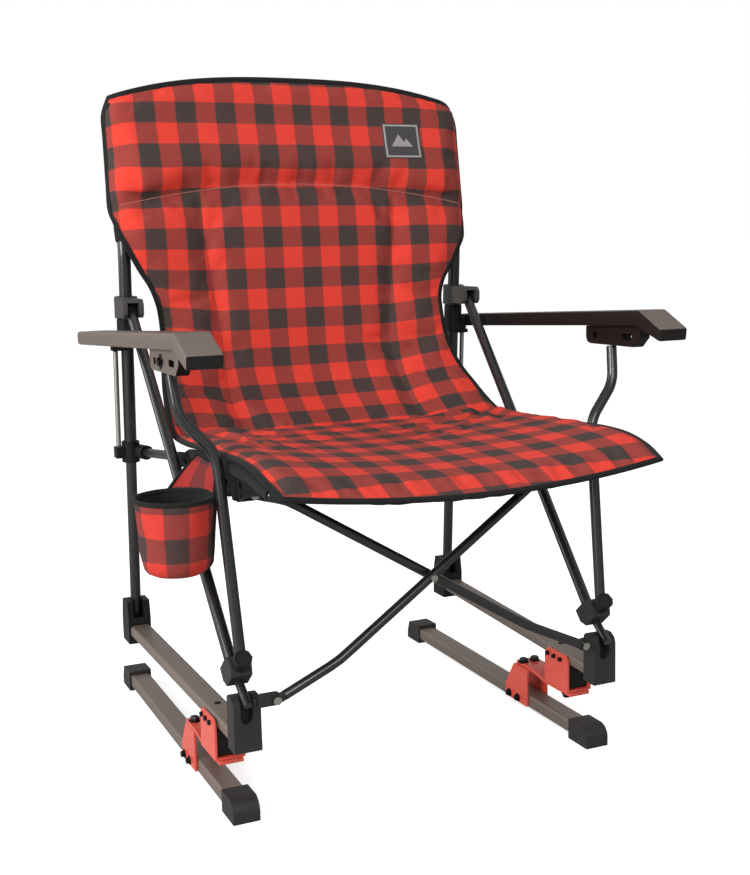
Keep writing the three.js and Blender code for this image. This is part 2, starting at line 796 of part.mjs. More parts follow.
// Head of the rivet where the bars cross
function crossingRivet() {
  const front = CROSSING.clone().addScaledVector(FRONT_AXIS, BAR_SPREAD + BAR_RADIUS + 1.4);
  return rod(front, front.clone().addScaledVector(FRONT_AXIS, 2), 4.6, 16);
}

// ---------------------------------------------------------------- fabric

// Edge of the sling: height and depth of the back, with its half width
const BACK_EDGE = [
  { y: 100, z: 456, half: 250 },
  { y: 132, z: 474, half: 245 },
  { y: 158, z: 497, half: 237 },
  { y: 178, z: 522, half: 231 },
  { y: 192, z: 556, half: 227 },
  { y: 203, z: 600, half: 227 },
  { y: 208, z: 630, half: 234 },
  { y: 209, z: 660, half: 252 },
  { y: 211, z: 700, half: 273 },
  { y: 219, z: 743, half: 282 },
  { y: 227, z: 820, half: 282 },
  { y: 237, z: 898, half: 281 },
];

function backSurface(u, w) {
  const place = w * (BACK_EDGE.length - 1);
  const i = Math.min(Math.floor(place), BACK_EDGE.length - 2);
  const t = place - i;
  const low = BACK_EDGE[i];
  const high = BACK_EDGE[i + 1];
  const mix = (key) => low[key] + (high[key] - low[key]) * t;
  const across = 2 * u - 1;
  const crown = w * w * 31 * (1 - across ** 4); // the top edge rises towards the middle
  const sag = 14 * (1 - across ** 2); // the sling hollows under the sitter
  return v(across * mix("half"), mix("y") + sag, mix("z") + crown);
}

function seatSurface(u, w) {
  const across = 2 * u - 1;
  const rear = 88;
  const front = -336.55 - 12 * (1 - across ** 2);
  const y = rear + (front - rear) * w;
  const half = 251.5 - 5 * w ** 3;
  const edge = 443 - 16 * Math.max(0, (w - 0.72) / 0.28) ** 2.6;
  const sag = SEAT_SAG * (1 - across ** 2);
  return v(across * half, y, edge - sag);
}

function backFabric() {
  return slab(backSurface, SLING_THICK, 8, 22);
}

function seatFabric() {
  return slab((u, w) => seatSurface(u, w), SLING_THICK, 8, 14);
}

// Round pocket with an open top and a flap up to the seat's edge
function cupHolder() {
  const sides = 28;
  const profile = [
    [0, CUP_FLOOR],
    [CUP_FLOOR_RADIUS - 5, CUP_FLOOR],
    [CUP_FLOOR_RADIUS, CUP_FLOOR + 6],
    [CUP_RIM_RADIUS, CUP_RIM],
    [CUP_RIM_RADIUS - CUP_WALL, CUP_RIM],
    [CUP_FLOOR_RADIUS - CUP_WALL, CUP_FLOOR + 7],
    [0, CUP_FLOOR + CUP_WALL + 2],
  ].map(([radius, z]) => new THREE.Vector2(radius, z));
  const pocket = new THREE.LatheGeometry(profile, sides).rotateX(Math.PI / 2);
  pocket.translate(CUP_CENTRE.x, CUP_CENTRE.y, 0);
  const inner = CUP_CENTRE.x + CUP_RIM_RADIUS;
  const flap = new THREE.ExtrudeGeometry(
    new THREE.Shape([
      new THREE.Vector2(inner - 4, CUP_RIM - 30),
      new THREE.Vector2(inner - 1, CUP_RIM - 30),
      new THREE.Vector2(inner + 1, CUP_RIM),
      new THREE.Vector2(-256, 430),
      new THREE.Vector2(-259, 430),
      new THREE.Vector2(inner - 3, CUP_RIM),
    ]),
    { depth: 62, bevelEnabled: false },
  );
  flap.applyMatrix4(new THREE.Matrix4().makeBasis(v(1, 0, 0), v(0, 0, 1), v(0, -1, 0)));
  flap.translate(0, -82, 0);
  return join(pocket, flap);
}

// ---------------------------------------------------------------- assembly

pair("base_rail", baseRail(), "taupe_steel");
pair("base_front_cap", baseFrontCap(), "grey_plastic");
pair("base_rear_cap", baseRearCap(), "grey_plastic");
pair("saddle_bracket", saddleBracket(), "red_steel");
pair("leaf_spring", leafSpring(), "red_steel");
pair("cradle_bracket", cradleBracket(), "red_steel");
pair("lower_rail", lowerRail(), "taupe_steel");
pair("front_boot", frontBoot(), "grey_plastic");
pair("rear_boot", rearBoot(), "black_plastic");
pair("inner_post", innerPost(), "black_steel");

pair("back_post", backPost(), "black_steel");
pair("rear_slider", rearSlider(), "black_plastic");
pair("upper_hub", upperHub(), "grey_plastic");
pair("diagonal_leg", diagonalLeg(), "black_steel");
pair("arm_clamp", armClamp(), "black_plastic");
pair("arm_strut", strut(), "bright_steel");
pair("armrest", armrest(), "arm_plastic");
pair("arm_bracket", armBracket(), "arm_plastic");
pair("arm_post", armPost(), "black_steel");
pair("front_hub", frontHub(), "grey_plastic");
pair("post_clamp", postClamp(), "black_plastic");
pair("foot_plug", footPlug(), "black_steel");
pair("seat_rail", seatRail(), "black_steel");
pair("front_seat_bracket", frontSeatBracket(), "black_plastic");
pair("rear_seat_bracket", rearSeatBracket(), "black_plastic");

part("brace_bar_front", braceBar(-1, BAR_SPREAD), "black_steel");
part("brace_bar_rear", braceBar(1, -BAR_SPREAD), "black_steel");
part("crossing_rivet", crossingRivet(), "bright_steel");
pair("lower_brace_rivet", braceRivet(LOWER_PIVOT), "bright_steel");
pair("upper_brace_rivet", braceRivet(UPPER_PIVOT), "bright_steel");

part("back_fabric", backFabric(), "check_fabric");
part("seat_fabric", seatFabric(), "check_fabric");
part("cup_holder", cupHolder(), "check_fabric");

export default chair;
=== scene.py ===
"""Camp rocking chair: the looks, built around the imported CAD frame.

Metres. +Z is up, the sitter faces -Y and +X is the sitter's left.
"""
import math

import bmesh
import bpy
import numpy as np
from mathutils import Matrix, Vector
from mathutils.bvhtree import BVHTree


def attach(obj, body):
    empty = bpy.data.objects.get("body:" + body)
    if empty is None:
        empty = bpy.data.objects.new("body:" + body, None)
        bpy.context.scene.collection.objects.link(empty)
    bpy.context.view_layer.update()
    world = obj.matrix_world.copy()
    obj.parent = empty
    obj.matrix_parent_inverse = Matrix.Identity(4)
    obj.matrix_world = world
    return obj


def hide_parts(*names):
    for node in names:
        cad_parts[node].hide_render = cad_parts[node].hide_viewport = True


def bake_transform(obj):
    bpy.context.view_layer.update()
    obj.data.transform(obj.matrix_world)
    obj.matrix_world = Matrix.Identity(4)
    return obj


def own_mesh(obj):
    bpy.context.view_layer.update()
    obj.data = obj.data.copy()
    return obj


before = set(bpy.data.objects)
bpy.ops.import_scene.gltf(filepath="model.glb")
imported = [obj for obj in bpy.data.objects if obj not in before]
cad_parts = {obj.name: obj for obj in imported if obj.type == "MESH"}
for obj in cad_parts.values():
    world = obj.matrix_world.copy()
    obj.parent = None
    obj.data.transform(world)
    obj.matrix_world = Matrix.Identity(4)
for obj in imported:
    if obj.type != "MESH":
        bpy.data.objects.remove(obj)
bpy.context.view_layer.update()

SIDES = (("left", 1), ("right", -1))
MIDDLE = (14.25, -3.0)  # x and y of the side frames' own middle, in millimetres


def at(x, y, z):
    """A point given in millimetres from the chair's middle plane."""
    return Vector(((x + MIDDLE[0]) / 1000, (y + MIDDLE[1]) / 1000, z / 1000))


# ---------------------------------------------------------------- camera, light and floor

def make_camera():
    yaw, pitch, roll = (math.radians(a) for a in (24.45, 9.12, 1.0))
    forward = Vector((math.sin(yaw) * math.cos(pitch), math.cos(yaw) * math.cos(pitch), -math.sin(pitch)))
    level = Vector((math.cos(yaw), -math.sin(yaw), 0))
    down = forward.cross(level)
    right = math.cos(roll) * level + math.sin(roll) * down
    up = math.sin(roll) * level - math.cos(roll) * down
    data = bpy.data.cameras.new("camera")
    data.sensor_width = 36
    data.lens = 51.96
    camera = bpy.data.objects.new("camera", data)
    axes = Matrix((right, up, -forward)).transposed()
    camera.matrix_world = Matrix.Translation(at(-697.6, -1571.3, 699.5)) @ axes.to_4x4()
    bpy.context.scene.collection.objects.link(camera)
    bpy.context.scene.camera = camera


def area_light(name, place, size, power):
    """Rectangular light aimed at the middle of the chair."""
    data = bpy.data.lights.new(name, "AREA")
    data.shape = "RECTANGLE"
    data.size, data.size_y = size
    data.energy = power
    light = bpy.data.objects.new(name, data)
    light.location = place
    aim = Vector((0, 0, 0.45)) - Vector(place)
    light.rotation_euler = aim.to_track_quat("-Z", "Y").to_euler()
    bpy.context.scene.collection.objects.link(light)


def seen_apart(tree, lighting, seen, output):
    """Shows the camera one shader, while light that bounces meets the other."""
    choose = tree.nodes.new("ShaderNodeMixShader")
    tree.links.new(tree.nodes.new("ShaderNodeLightPath").outputs["Is Camera Ray"], choose.inputs[0])
    tree.links.new(lighting.outputs[0], choose.inputs[1])
    tree.links.new(seen.outputs[0], choose.inputs[2])
    tree.links.new(choose.outputs[0], tree.nodes[output].inputs[0])


def make_studio():
    scene = bpy.context.scene
    scene.view_settings.view_transform = "Standard"
    scene.view_settings.look = "None"
    scene.world = bpy.data.worlds.new("studio")
    scene.world.use_nodes = True
    sky = scene.world.node_tree
    back = sky.nodes["Background"]
    back.inputs["Color"].default_value = (1, 1, 1, 1)
    back.inputs["Strength"].default_value = 0.47
    seen = sky.nodes.new("ShaderNodeBackground")
    seen.inputs["Color"].default_value = (1, 1, 1, 1)
    seen_apart(sky, back, seen, "World Output")
    area_light("key", (-3.0, -1.0, 1.3), (1.4, 1.4), 88)
    area_light("front", (-0.6, -2.8, 1.9), (1.6, 1.2), 44)
    area_light("top", (0.1, 0.3, 3.0), (1.6, 1.2), 5)
    area_light("rim", (-2.2, 1.2, 1.3), (0.8, 1.6), 16)
    mesh = bpy.data.meshes.new("floor")
    reach = 80
    corners = [(-reach, -reach, 0), (reach, -reach, 0), (reach, reach, 0), (-reach, reach, 0)]
    mesh.from_pydata(corners, [], [(0, 1, 2, 3)])
    floor = bpy.data.objects.new("floor", mesh)
    floor.location.z = -0.0002
    scene.collection.objects.link(floor)
    pale = bpy.data.materials.new("floor_paper")
    pale.use_nodes = True
    paper = pale.node_tree
    shader = paper.nodes["Principled BSDF"]
    shader.inputs["Base Color"].default_value = (0.93, 0.93, 0.93, 1)
    shader.inputs["Roughness"].default_value = 0.9
    shader.inputs["Specular IOR Level"].default_value = 0.1
    shader.inputs["Emission Color"].default_value = (1, 1, 1, 1)
    shader.inputs["Emission Strength"].default_value = 0.60
    bounce = paper.nodes.new("ShaderNodeBsdfDiffuse")
    bounce.inputs["Color"].default_value = (0.42, 0.42, 0.42, 1)
    seen_apart(paper, bounce, shader, "Material Output")
    mesh.materials.append(pale)


# ---------------------------------------------------------------- materials

class Nodes:
    """Short names for building one material's nodes."""

    def __init__(self, name):
        self.material = bpy.data.materials.new(name)
        self.material.use_nodes = True
        self.tree = self.material.node_tree
        self.shader = self.tree.nodes["Principled BSDF"]

    def add(self, kind, **values):
        node = self.tree.nodes.new(kind)
        for key, value in values.items():
            if hasattr(node, key):
                setattr(node, key, value)
            else:
                node.inputs[key].default_value = value
        return node

    def link(self, out, into):
        self.tree.links.new(out, into)

    def feed(self, target, value):
        if isinstance(value, bpy.types.NodeSocket):
            self.link(value, target)
        else:
            target.default_value = value

    def math(self, operation, a, b=0.0, c=None, clamp=False):
        node = self.add("ShaderNodeMath", operation=operation, use_clamp=clamp)
        self.feed(node.inputs[0], a)
        self.feed(node.inputs[1], b)
        if c is not None:
            self.feed(node.inputs[2], c)
        return node.outputs[0]

    def times(self, a, b):
        return self.math("MULTIPLY", a, b)

    def noise(self, scale, detail, roughness, where=None):
        node = self.add("ShaderNodeTexNoise", Scale=scale, Detail=detail, Roughness=roughness, Distortion=0.0)
        self.link(where or self.place(), node.inputs["Vector"])
        return node.outputs["Fac"]

    def place(self):
        return self.add("ShaderNodeTexCoord").outputs["Object"]

    def cloth(self):
        """Cloth coordinates, and their two parts across and along the cloth."""
        cloth = self.add("ShaderNodeUVMap", uv_map="cloth").outputs[0]
        parts = self.add("ShaderNodeSeparateXYZ")
        self.link(cloth, parts.inputs[0])
        return cloth, parts.outputs[0], parts.outputs[1]

    def stretched(self, scale):
        node = self.add("ShaderNodeMapping")
        self.link(self.place(), node.inputs["Vector"])
        node.inputs["Scale"].default_value = scale
        return node.outputs[0]

    def ramp(self, value, low, high):
        """Value carried from low..high to 0..1, smoothly."""
        node = self.add("ShaderNodeMapRange", interpolation_type="SMOOTHSTEP")
        self.feed(node.inputs["Value"], value)
        self.feed(node.inputs["From Min"], low)
        self.feed(node.inputs["From Max"], high)
        return node.outputs[0]

    def feed_colour(self, target, value):
        self.feed(target, value if isinstance(value, bpy.types.NodeSocket) else (*value, 1))

    def mix(self, share, a, b):
        node = self.add("ShaderNodeMix", data_type="RGBA")
        self.feed(node.inputs[0], share)
        self.feed_colour(node.inputs[6], a)
        self.feed_colour(node.inputs[7], b)
        return node.outputs[2]

    def vary(self, low, high, value):
        """A number that runs from low to high with value."""
        return self.math("MULTIPLY_ADD", value, high - low, low)

    def bump(self, height, strength, distance, below=None):
        node = self.add("ShaderNodeBump", Strength=strength, Distance=distance)
        self.link(height, node.inputs["Height"])
        if below is not None:
            self.link(below, node.inputs["Normal"])
        return node.outputs[0]

    def finish(self, colour, roughness, metal=0.0, normal=None, **extra):
        inputs = self.shader.inputs
        self.feed_colour(inputs["Base Color"], colour)
        self.feed(inputs["Roughness"], roughness)
        self.feed(inputs["Metallic"], metal)
        for key, value in extra.items():
            self.feed(inputs[key.replace("_", " ")], value)
        if normal is not None:
            self.link(normal, inputs["Normal"])
        return self.material


def scaled(colour, share, lift=0.0):
    """A darker or lighter version of a colour."""
    return tuple(min(1, c * share + lift) for c in colour)


def edge_wear(n):
    """Near 1 on sharp convex edges."""
    point = n.add("ShaderNodeNewGeometry").outputs["Pointiness"]
    return n.ramp(point, 0.53, 0.6)


def painted_steel(name, colour, light, roughness, coat):
    """Powder-coated or painted steel: faint mottling, orange-peel and lighter worn edges."""
    n = Nodes(name)
    blotch = n.noise(9, 4, 0.6)
    peel = n.noise(900, 2, 0.5)
    shade = n.mix(n.vary(0.0, 0.45, blotch), colour, scaled(colour, 0.8))
    worn = n.times(edge_wear(n), n.ramp(n.noise(160, 3, 0.6), 0.4, 0.7))
    shade = n.mix(n.times(worn, 0.4), shade, light)
    rough = n.vary(roughness - 0.05, roughness + 0.08, blotch)
    return n.finish(shade, rough, 0.0, n.bump(peel, 0.06, 0.0004), Coat_Weight=coat, Coat_Roughness=0.12)


def rail_paint(name, colour):
    """Satin metallic paint on the rectangular rails, with faint drawn lines along them."""
    n = Nodes(name)
    drawn = n.noise(60, 4, 0.65, n.stretched((18, 0.35, 18)))
    flake = n.noise(2600, 1, 0.5)
    shade = n.mix(n.vary(0.0, 0.7, drawn), colour, scaled(colour, 0.72))
    shade = n.mix(n.times(n.ramp(flake, 0.6, 0.75), 0.25), shade, scaled(colour, 1.9))
    worn = n.times(edge_wear(n), 0.35)
    shade = n.mix(worn, shade, scaled(colour, 1.7))
    return n.finish(shade, n.vary(0.34, 0.5, drawn), 0.55, n.bump(drawn, 0.08, 0.0005))


def moulded_plastic(name, colour, roughness, grain=1500, depth=0.25, shine=0.25):
    """Moulded plastic with a fine spark-eroded grain and slight rub marks."""
    n = Nodes(name)
    texture = n.noise(grain, 2, 0.6)
    cloud = n.noise(14, 4, 0.6)
    scuff = n.ramp(n.noise(55, 5, 0.7, n.stretched((1, 3.5, 1))), 0.58, 0.75)
    shade = n.mix(n.vary(0.0, 0.5, cloud), colour, scaled(colour, 0.78))
    shade = n.mix(n.times(scuff, 0.18), shade, scaled(colour, 2.0, 0.02))
    shade = n.mix(n.times(edge_wear(n), 0.22), shade, scaled(colour, 1.9, 0.02))
    rough = n.math("ADD", n.vary(roughness - 0.05, roughness + 0.07, cloud), n.times(scuff, 0.06))
    return n.finish(shade, rough, 0.0, n.bump(texture, depth, 0.0003), Specular_IOR_Level=shine)


def bare_steel(name, colour, roughness):
    """Zinc-plated or blackened fastener steel."""
    n = Nodes(name)
    grainy = n.noise(420, 4, 0.6)
    shade = n.mix(grainy, colour, scaled(colour, 0.7))
    rough = n.vary(roughness - 0.08, roughness + 0.1, grainy)
    return n.finish(shade, rough, 1.0, n.bump(grainy, 0.1, 0.0002))


CHECK = 0.06  # one repeat of the check: a dark stripe and a red one
CHECK_X = 0.014  # middle of a dark stripe, in metres from the middle plane


def weave_height(n, across, along, pitch):
    """Plain weave: the bumps of warp and weft threads, pitch metres apart."""
    warp = n.math("SINE", n.times(across, math.tau / pitch))
    weft = n.math("SINE", n.times(along, math.tau / pitch))
    return n.math("MULTIPLY_ADD", n.times(warp, weft), 0.5, 0.5)


def stripe(n, value):
    """1 on the dark half of each repeat of value, 0 on the red half."""
    wave = n.math("COSINE", n.times(value, math.tau / CHECK))
    return n.ramp(wave, -0.096, 0.096)


def check_cloth(name="check_cloth", lit_share=1.0):
    """Woven polyester in a red and charcoal check, from the cloth's own coordinates; a share below 1 darkens
    it all as painted shade.
    """
    n = Nodes(name)
    cloth, across, along = n.cloth()
    wobble = n.times(n.math("SUBTRACT", n.noise(120, 2, 0.5, cloth), 0.5), 0.0012)
    column = stripe(n, n.math("ADD", across, wobble))
    row = stripe(n, n.math("ADD", along, wobble))
    twill = n.math("SINE", n.times(n.math("ADD", across, along), math.tau / 0.0021))
    twill = n.math("MULTIPLY_ADD", twill, 0.5, 0.5)
    red = n.mix(n.noise(700, 2, 0.5, cloth), (0.66, 0.040, 0.026), (0.76, 0.062, 0.040))
    dark = n.mix(n.noise(700, 2, 0.5, cloth), (0.030, 0.033, 0.031), (0.046, 0.048, 0.045))
    share = n.times(n.math("ADD", column, row), 0.5)
    blend = n.mix(n.math("MULTIPLY_ADD", twill, 0.22, 0.53), red, dark)
    cloth_colour = n.mix(n.math("SMOOTH_MIN", n.times(share, 2.0), 1.0, 0.05), red, blend)
    cloth_colour = n.mix(n.math("MULTIPLY_ADD", share, 2.0, -1.0, clamp=True), cloth_colour, dark)
    # A share below 1 darkens the whole cloth towards a dark purple: painted shade.
    if lit_share < 1:
        cloth_colour = n.mix(1 - lit_share, cloth_colour, (0.05, 0.012, 0.02))
    fade = n.noise(5, 3, 0.5, cloth)
    cloth_colour = n.mix(n.vary(0.0, 0.16, fade), cloth_colour, (0.30, 0.05, 0.04))
    weave = weave_height(n, across, along, 0.0011)
    slub = n.noise(900, 2, 0.6, cloth)
    normal = n.bump(weave, 0.35, 0.00022)
    normal = n.bump(slub, 0.15, 0.0002, normal)
    return n.finish(
        cloth_colour, n.vary(0.72, 0.9, slub), 0.0, normal,
        Sheen_Weight=0.03, Sheen_Roughness=0.5, Sheen_Tint=(1.0, 0.8, 0.75, 1), Specular_IOR_Level=0.1,
    )


def plain_cloth(name, colour, pitch=0.0012, ribbed=False):
    """Black woven cloth or ribbed binding tape."""
    n = Nodes(name)
    cloth, across, along = n.cloth()
    if ribbed:
        wave = n.math("SINE", n.times(along, math.tau / pitch))
        weave = n.math("MULTIPLY_ADD", wave, 0.5, 0.5)
    else:
        weave = weave_height(n, across, along, pitch)
    lint = n.noise(600, 3, 0.6, cloth)
    shade = n.mix(lint, colour, scaled(colour, 1.7, 0.004))
    shade = n.mix(n.times(weave, 0.3), shade, scaled(colour, 0.5))
    normal = n.bump(weave, 0.5, 0.0003)
    return n.finish(shade, 0.82, 0.0, normal, Sheen_Weight=0.04, Sheen_Roughness=0.5, Specular_IOR_Level=0.12)


def thread(name, colour):
    n = Nodes(name)
    twist = n.noise(2500, 2, 0.5)
    return n.finish(n.mix(twist, colour, scaled(colour, 0.6)), 0.6, 0.0, n.bump(twist, 0.3, 0.0001))


def label_cloth():
    """Plain woven patch: dark ground, a light border line and two plain peaks."""
    n = Nodes("label_cloth")
    _, u, w = n.cloth()

    def away(value, middle):
        return n.math("ABSOLUTE", n.math("SUBTRACT", value, middle))

    edge = n.math("MAXIMUM", n.times(away(u, 0.5), 2.0), n.times(away(w, 0.5), 2.0))
    border = n.times(n.ramp(edge, 0.83, 0.86), n.math("SUBTRACT", 1.0, n.ramp(edge, 0.92, 0.95)))

    def peak(middle, height, half):
        slope = n.times(away(u, middle), height / half)
        inside = n.math("SUBTRACT", n.math("SUBTRACT", 0.34 + height, slope), w)
        return n.times(n.ramp(inside, 0.0, 0.02), n.ramp(w, 0.33, 0.35))

    peaks = n.math("MAXIMUM", peak(0.42, 0.36, 0.22), peak(0.62, 0.24, 0.17))
    mark = n.math("MAXIMUM", border, n.times(peaks, 0.85))
    weave = weave_height(n, u, w, 0.018)
    shade = n.mix(weave, (0.028, 0.026, 0.026), (0.045, 0.042, 0.042))
    shade = n.mix(n.times(mark, 0.9), shade, (0.36, 0.33, 0.33))
    return n.finish(shade, 0.7, 0.0, n.bump(weave, 0.3, 0.0003), Sheen_Weight=0.15)


MATERIALS = {
    "taupe_steel": rail_paint("taupe_paint", (0.245, 0.195, 0.165)),
    "red_steel": painted_steel("red_powder_coat", (0.72, 0.075, 0.045), (0.85, 0.28, 0.2), 0.34, 0.35),
    "black_steel": painted_steel("black_powder_coat", (0.012, 0.011, 0.011), (0.05, 0.046, 0.042), 0.27, 0.3),
    "grey_plastic": moulded_plastic("grey_plastic", (0.052, 0.049, 0.046), 0.5),
    "cap_plastic": moulded_plastic("cap_plastic", (0.028, 0.026, 0.025), 0.5, shine=0.2),
    "black_plastic": moulded_plastic("black_plastic", (0.009, 0.009, 0.009), 0.45, shine=0.16),
    "arm_plastic": moulded_plastic("arm_plastic", (0.135, 0.108, 0.092), 0.42, 1100, 0.3, 0.3),
    # Near-black copy of the arm plastic: the front faces' own dark colour, and painted shade on the inner
    # faces and on the bracket.
    "arm_dark_face_and_shade": moulded_plastic("dark_arm_plastic_and_painted_shade", (0.011, 0.009, 0.009), 0.42, 1100, 0.3, 0.15),
    "bright_steel": bare_steel("zinc_plate", (0.52, 0.50, 0.46), 0.34),
    "dark_bolt": bare_steel("black_oxide", (0.035, 0.033, 0.032), 0.38),
    "check_fabric": check_cloth(),
    # Darker copies of the check cloth: painted shade on the cup pocket and, deeper, on the flap.
    "cup_cloth_shaded": check_cloth("cup_cloth_painted_shade", 0.78),
    "flap_cloth_shaded": check_cloth("flap_cloth_painted_shade", 0.42),
    "backing": plain_cloth("backing_cloth", (0.010, 0.010, 0.011)),
    "binding": plain_cloth("binding_tape", (0.008, 0.008, 0.008), 0.0016, ribbed=True),
    "stitch": thread("dark_thread", (0.03, 0.028, 0.027)),
    "pale_stitch": thread("red_thread", (0.62, 0.20, 0.16)),
    "label": label_cloth(),
}
SLOT_OF = {
    "dark_bolt": "bright_steel", "arm_dark_face_and_shade": "arm_plastic", "cap_plastic": "grey_plastic",
    **dict.fromkeys(
        ("backing", "binding", "stitch", "pale_stitch", "label", "cup_cloth_shaded", "flap_cloth_shaded"), "check_fabric"),
}


# ---------------------------------------------------------------- building pieces

def new_piece(name, mesh, finish, body, replaces=()):
    piece = bpy.data.objects.new(name, mesh)
    bpy.context.scene.collection.objects.link(piece)
    if not mesh.materials:
        mesh.materials.append(MATERIALS[finish])
    if body:
        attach(piece, body)
    if replaces:
        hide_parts(*replaces)
    return piece


def from_bmesh(bm, name, sharp=38):
    """Mesh from bm, smooth except across edges sharper than the angle."""
    bmesh.ops.recalc_face_normals(bm, faces=bm.faces)
    for face in bm.faces:
        face.smooth = True
    limit = math.radians(sharp)
    for edge in bm.edges:
        edge.smooth = len(edge.link_faces) == 2 and edge.calc_face_angle(0) < limit
    mesh = bpy.data.meshes.new(name)
    bm.to_mesh(mesh)
    bm.free()
    return mesh


def rounded_path(points, radius, steps=7):
    """Polyline whose inner corners are arcs."""
    path = [Vector(points[0])]
    for before, corner, after in zip(points, points[1:], points[2:]):
        corner = Vector(corner)
        into = (Vector(before) - corner).normalized()
        out = (Vector(after) - corner).normalized()
        turn = math.pi - into.angle(out)
        reach = radius * math.tan(turn / 2)
        reach = min(reach, (Vector(before) - corner).length * 0.48, (Vector(after) - corner).length * 0.48)
        if turn < 0.02:
            path.append(corner)
            continue
        a, b = corner + into * reach, corner + out * reach
        for i in range(steps + 1):
            t = i / steps
            path.append(a * (1 - t) ** 2 + corner * 2 * t * (1 - t) + b * t ** 2)
    path.append(Vector(points[-1]))
    return path


def frames_along(path):
    """Two directions square to the path at each of its points, carried along without twist."""
    tangents = []
    for i in range(len(path)):
        a, b = path[max(i - 1, 0)], path[min(i + 1, len(path) - 1)]
        tangents.append((b - a).normalized())
    side = tangents[0].cross(Vector((0.2, 0.1, 1))).normalized()
    out = []
    for tangent in tangents:
        side = (side - tangent * side.dot(tangent)).normalized()
        out.append((side, tangent.cross(side)))
    return out


def skin(bm, rings, ends=True):
    """Faces from each ring of points to the next, and over both ends.

    Returns every side face with the (point, ring) numbers of its corners.
    """
    made = []
    for k, (low, high) in enumerate(zip(rings, rings[1:])):
        for i in range(len(low)):
            j = (i + 1) % len(low)
            face = bm.faces.new((low[i], low[j], high[j], high[i]))
            made.append((face, ((i, k), (i + 1, k), (i + 1, k + 1), (i, k + 1))))
    if ends:
        bm.faces.new(rings[0][::-1])
        bm.faces.new(rings[-1])
    return made


def sweep(bm, path, section, scale=None):
    """Section, a list of (a, b) offsets, carried along path and scaled at each of its points."""
    scale = scale or [1] * len(path)
    skin(bm, [
        [bm.verts.new(point + side * a * k + up * b * k) for a, b in section]
        for point, k, (side, up) in zip(path, scale, frames_along(path))
    ])


def circle(radius, sides, phase=0.0):
    turns = [math.tau * i / sides + phase for i in range(sides)]
    return [(radius * math.cos(turn), radius * math.sin(turn)) for turn in turns]


def tube(name, points, radius, body, replaces, finish="black_steel", bend=0.03, sides=28):
    """Bent round tube with slightly eased ends. Points and radius in metres."""
    lip = 0.0008
    bm = bmesh.new()
    path = rounded_path(points, bend)
    first = (path[1] - path[0]).normalized()
    last = (path[-1] - path[-2]).normalized()
    path = [path[0], path[0] + first * lip] + path[1:-1] + [path[-1] - last * lip, path[-1]]
    scale = [1 - lip / radius] + [1] * (len(path) - 2) + [1 - lip / radius]
    sweep(bm, path, circle(radius, sides), scale)
    return new_piece(name, from_bmesh(bm, name), finish, body, replaces)


def round_edges(bm, width):
    """Rounds the edges between faces that meet at a clear angle."""
    sharp = [e for e in bm.edges if len(e.link_faces) == 2 and e.calc_face_angle(0) > math.radians(28)]
    bmesh.ops.bevel(
        bm, geom=sharp, offset=width, offset_type="OFFSET", segments=2, profile=0.6,
        affect="EDGES", clamp_overlap=True,
    )


def softened(node, finish, body, width, second=None):
    """Copy of a hard CAD node with its edges rounded, standing for that node.

    second is (finish, test): faces whose normal passes the test get that finish.
    """
    bm = bmesh.new()
    bm.from_mesh(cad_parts[node].data)
    bmesh.ops.remove_doubles(bm, verts=bm.verts, dist=1e-6)
    flat = [e for e in bm.edges if len(e.link_faces) == 2 and e.calc_face_angle(1) < math.radians(0.4)]
    bmesh.ops.dissolve_edges(bm, edges=flat, use_verts=True)
    round_edges(bm, width)
    if second:
        bm.normal_update()
        for face in bm.faces:
            face.material_index = int(second[1](face.normal))
    mesh = from_bmesh(bm, f"{node}_shell", 30)
    if second:
        mesh.materials.append(MATERIALS[finish])
        mesh.materials.append(MATERIALS[second[0]])
    piece = new_piece(f"{node}_shell", mesh, finish, body, (node,))
    weighted = piece.modifiers.new("weighted", "WEIGHTED_NORMAL")
    weighted.keep_sharp = True
    return piece


def lathe(bm, profile, place, direction, sides=24, phase=0.0):
    """Turned solid: profile is (radius, height) pairs, height measured along direction from place."""
    turn = Matrix.Translation(place) @ direction.to_track_quat("Z", "Y").to_matrix().to_4x4()
    skin(bm, [
        [bm.verts.new(turn @ Vector((x, y, height))) for x, y in circle(radius, sides, phase)]
        for radius, height in profile
    ])


def hex_bolt(bm, place, direction, size, head, washer=True):
    """Hexagon head with a chamfered top on a plain washer. Size is the head's corner radius."""
    if washer:
        lathe(bm, [(size * 1.25, -0.0004), (size * 1.3, 0), (size * 1.3, 0.0009), (size * 1.22, 0.0012)],
              place, direction)
    base = place + direction * (0.0012 if washer else 0)
    lathe(bm, [(size, -0.0003), (size, head * 0.78), (size * 0.86, head), (size * 0.3, head)],
          base, direction, 6, 0.4)


def fasteners(name, body, finish, build):
    """One piece holding the fasteners that build adds to a mesh."""
    bm = bmesh.new()
    build(bm)
    return new_piece(name, from_bmesh(bm, name), finish, body)


def slab_piece(name, outline, x_low, x_high, finish, body, width):
    """Plate with rounded edges; outline is (y, z) in millimetres."""
    bm = bmesh.new()
    skin(bm, [[bm.verts.new(at(x, y, z)) for y, z in outline] for x in (x_low, x_high)])
    bmesh.ops.recalc_face_normals(bm, faces=bm.faces)
    round_edges(bm, width)
    return new_piece(name, from_bmesh(bm, name, 30), finish, body)


def outline_keys(rows, columns):
    """(row, column) of every point round a grid's outline, in order."""
    keys = [(0, i) for i in range(columns)] + [(j, columns - 1) for j in range(1, rows)]
    keys += [(rows - 1, i) for i in range(columns - 2, -1, -1)]
    return keys + [(j, 0) for j in range(rows - 2, 0, -1)]


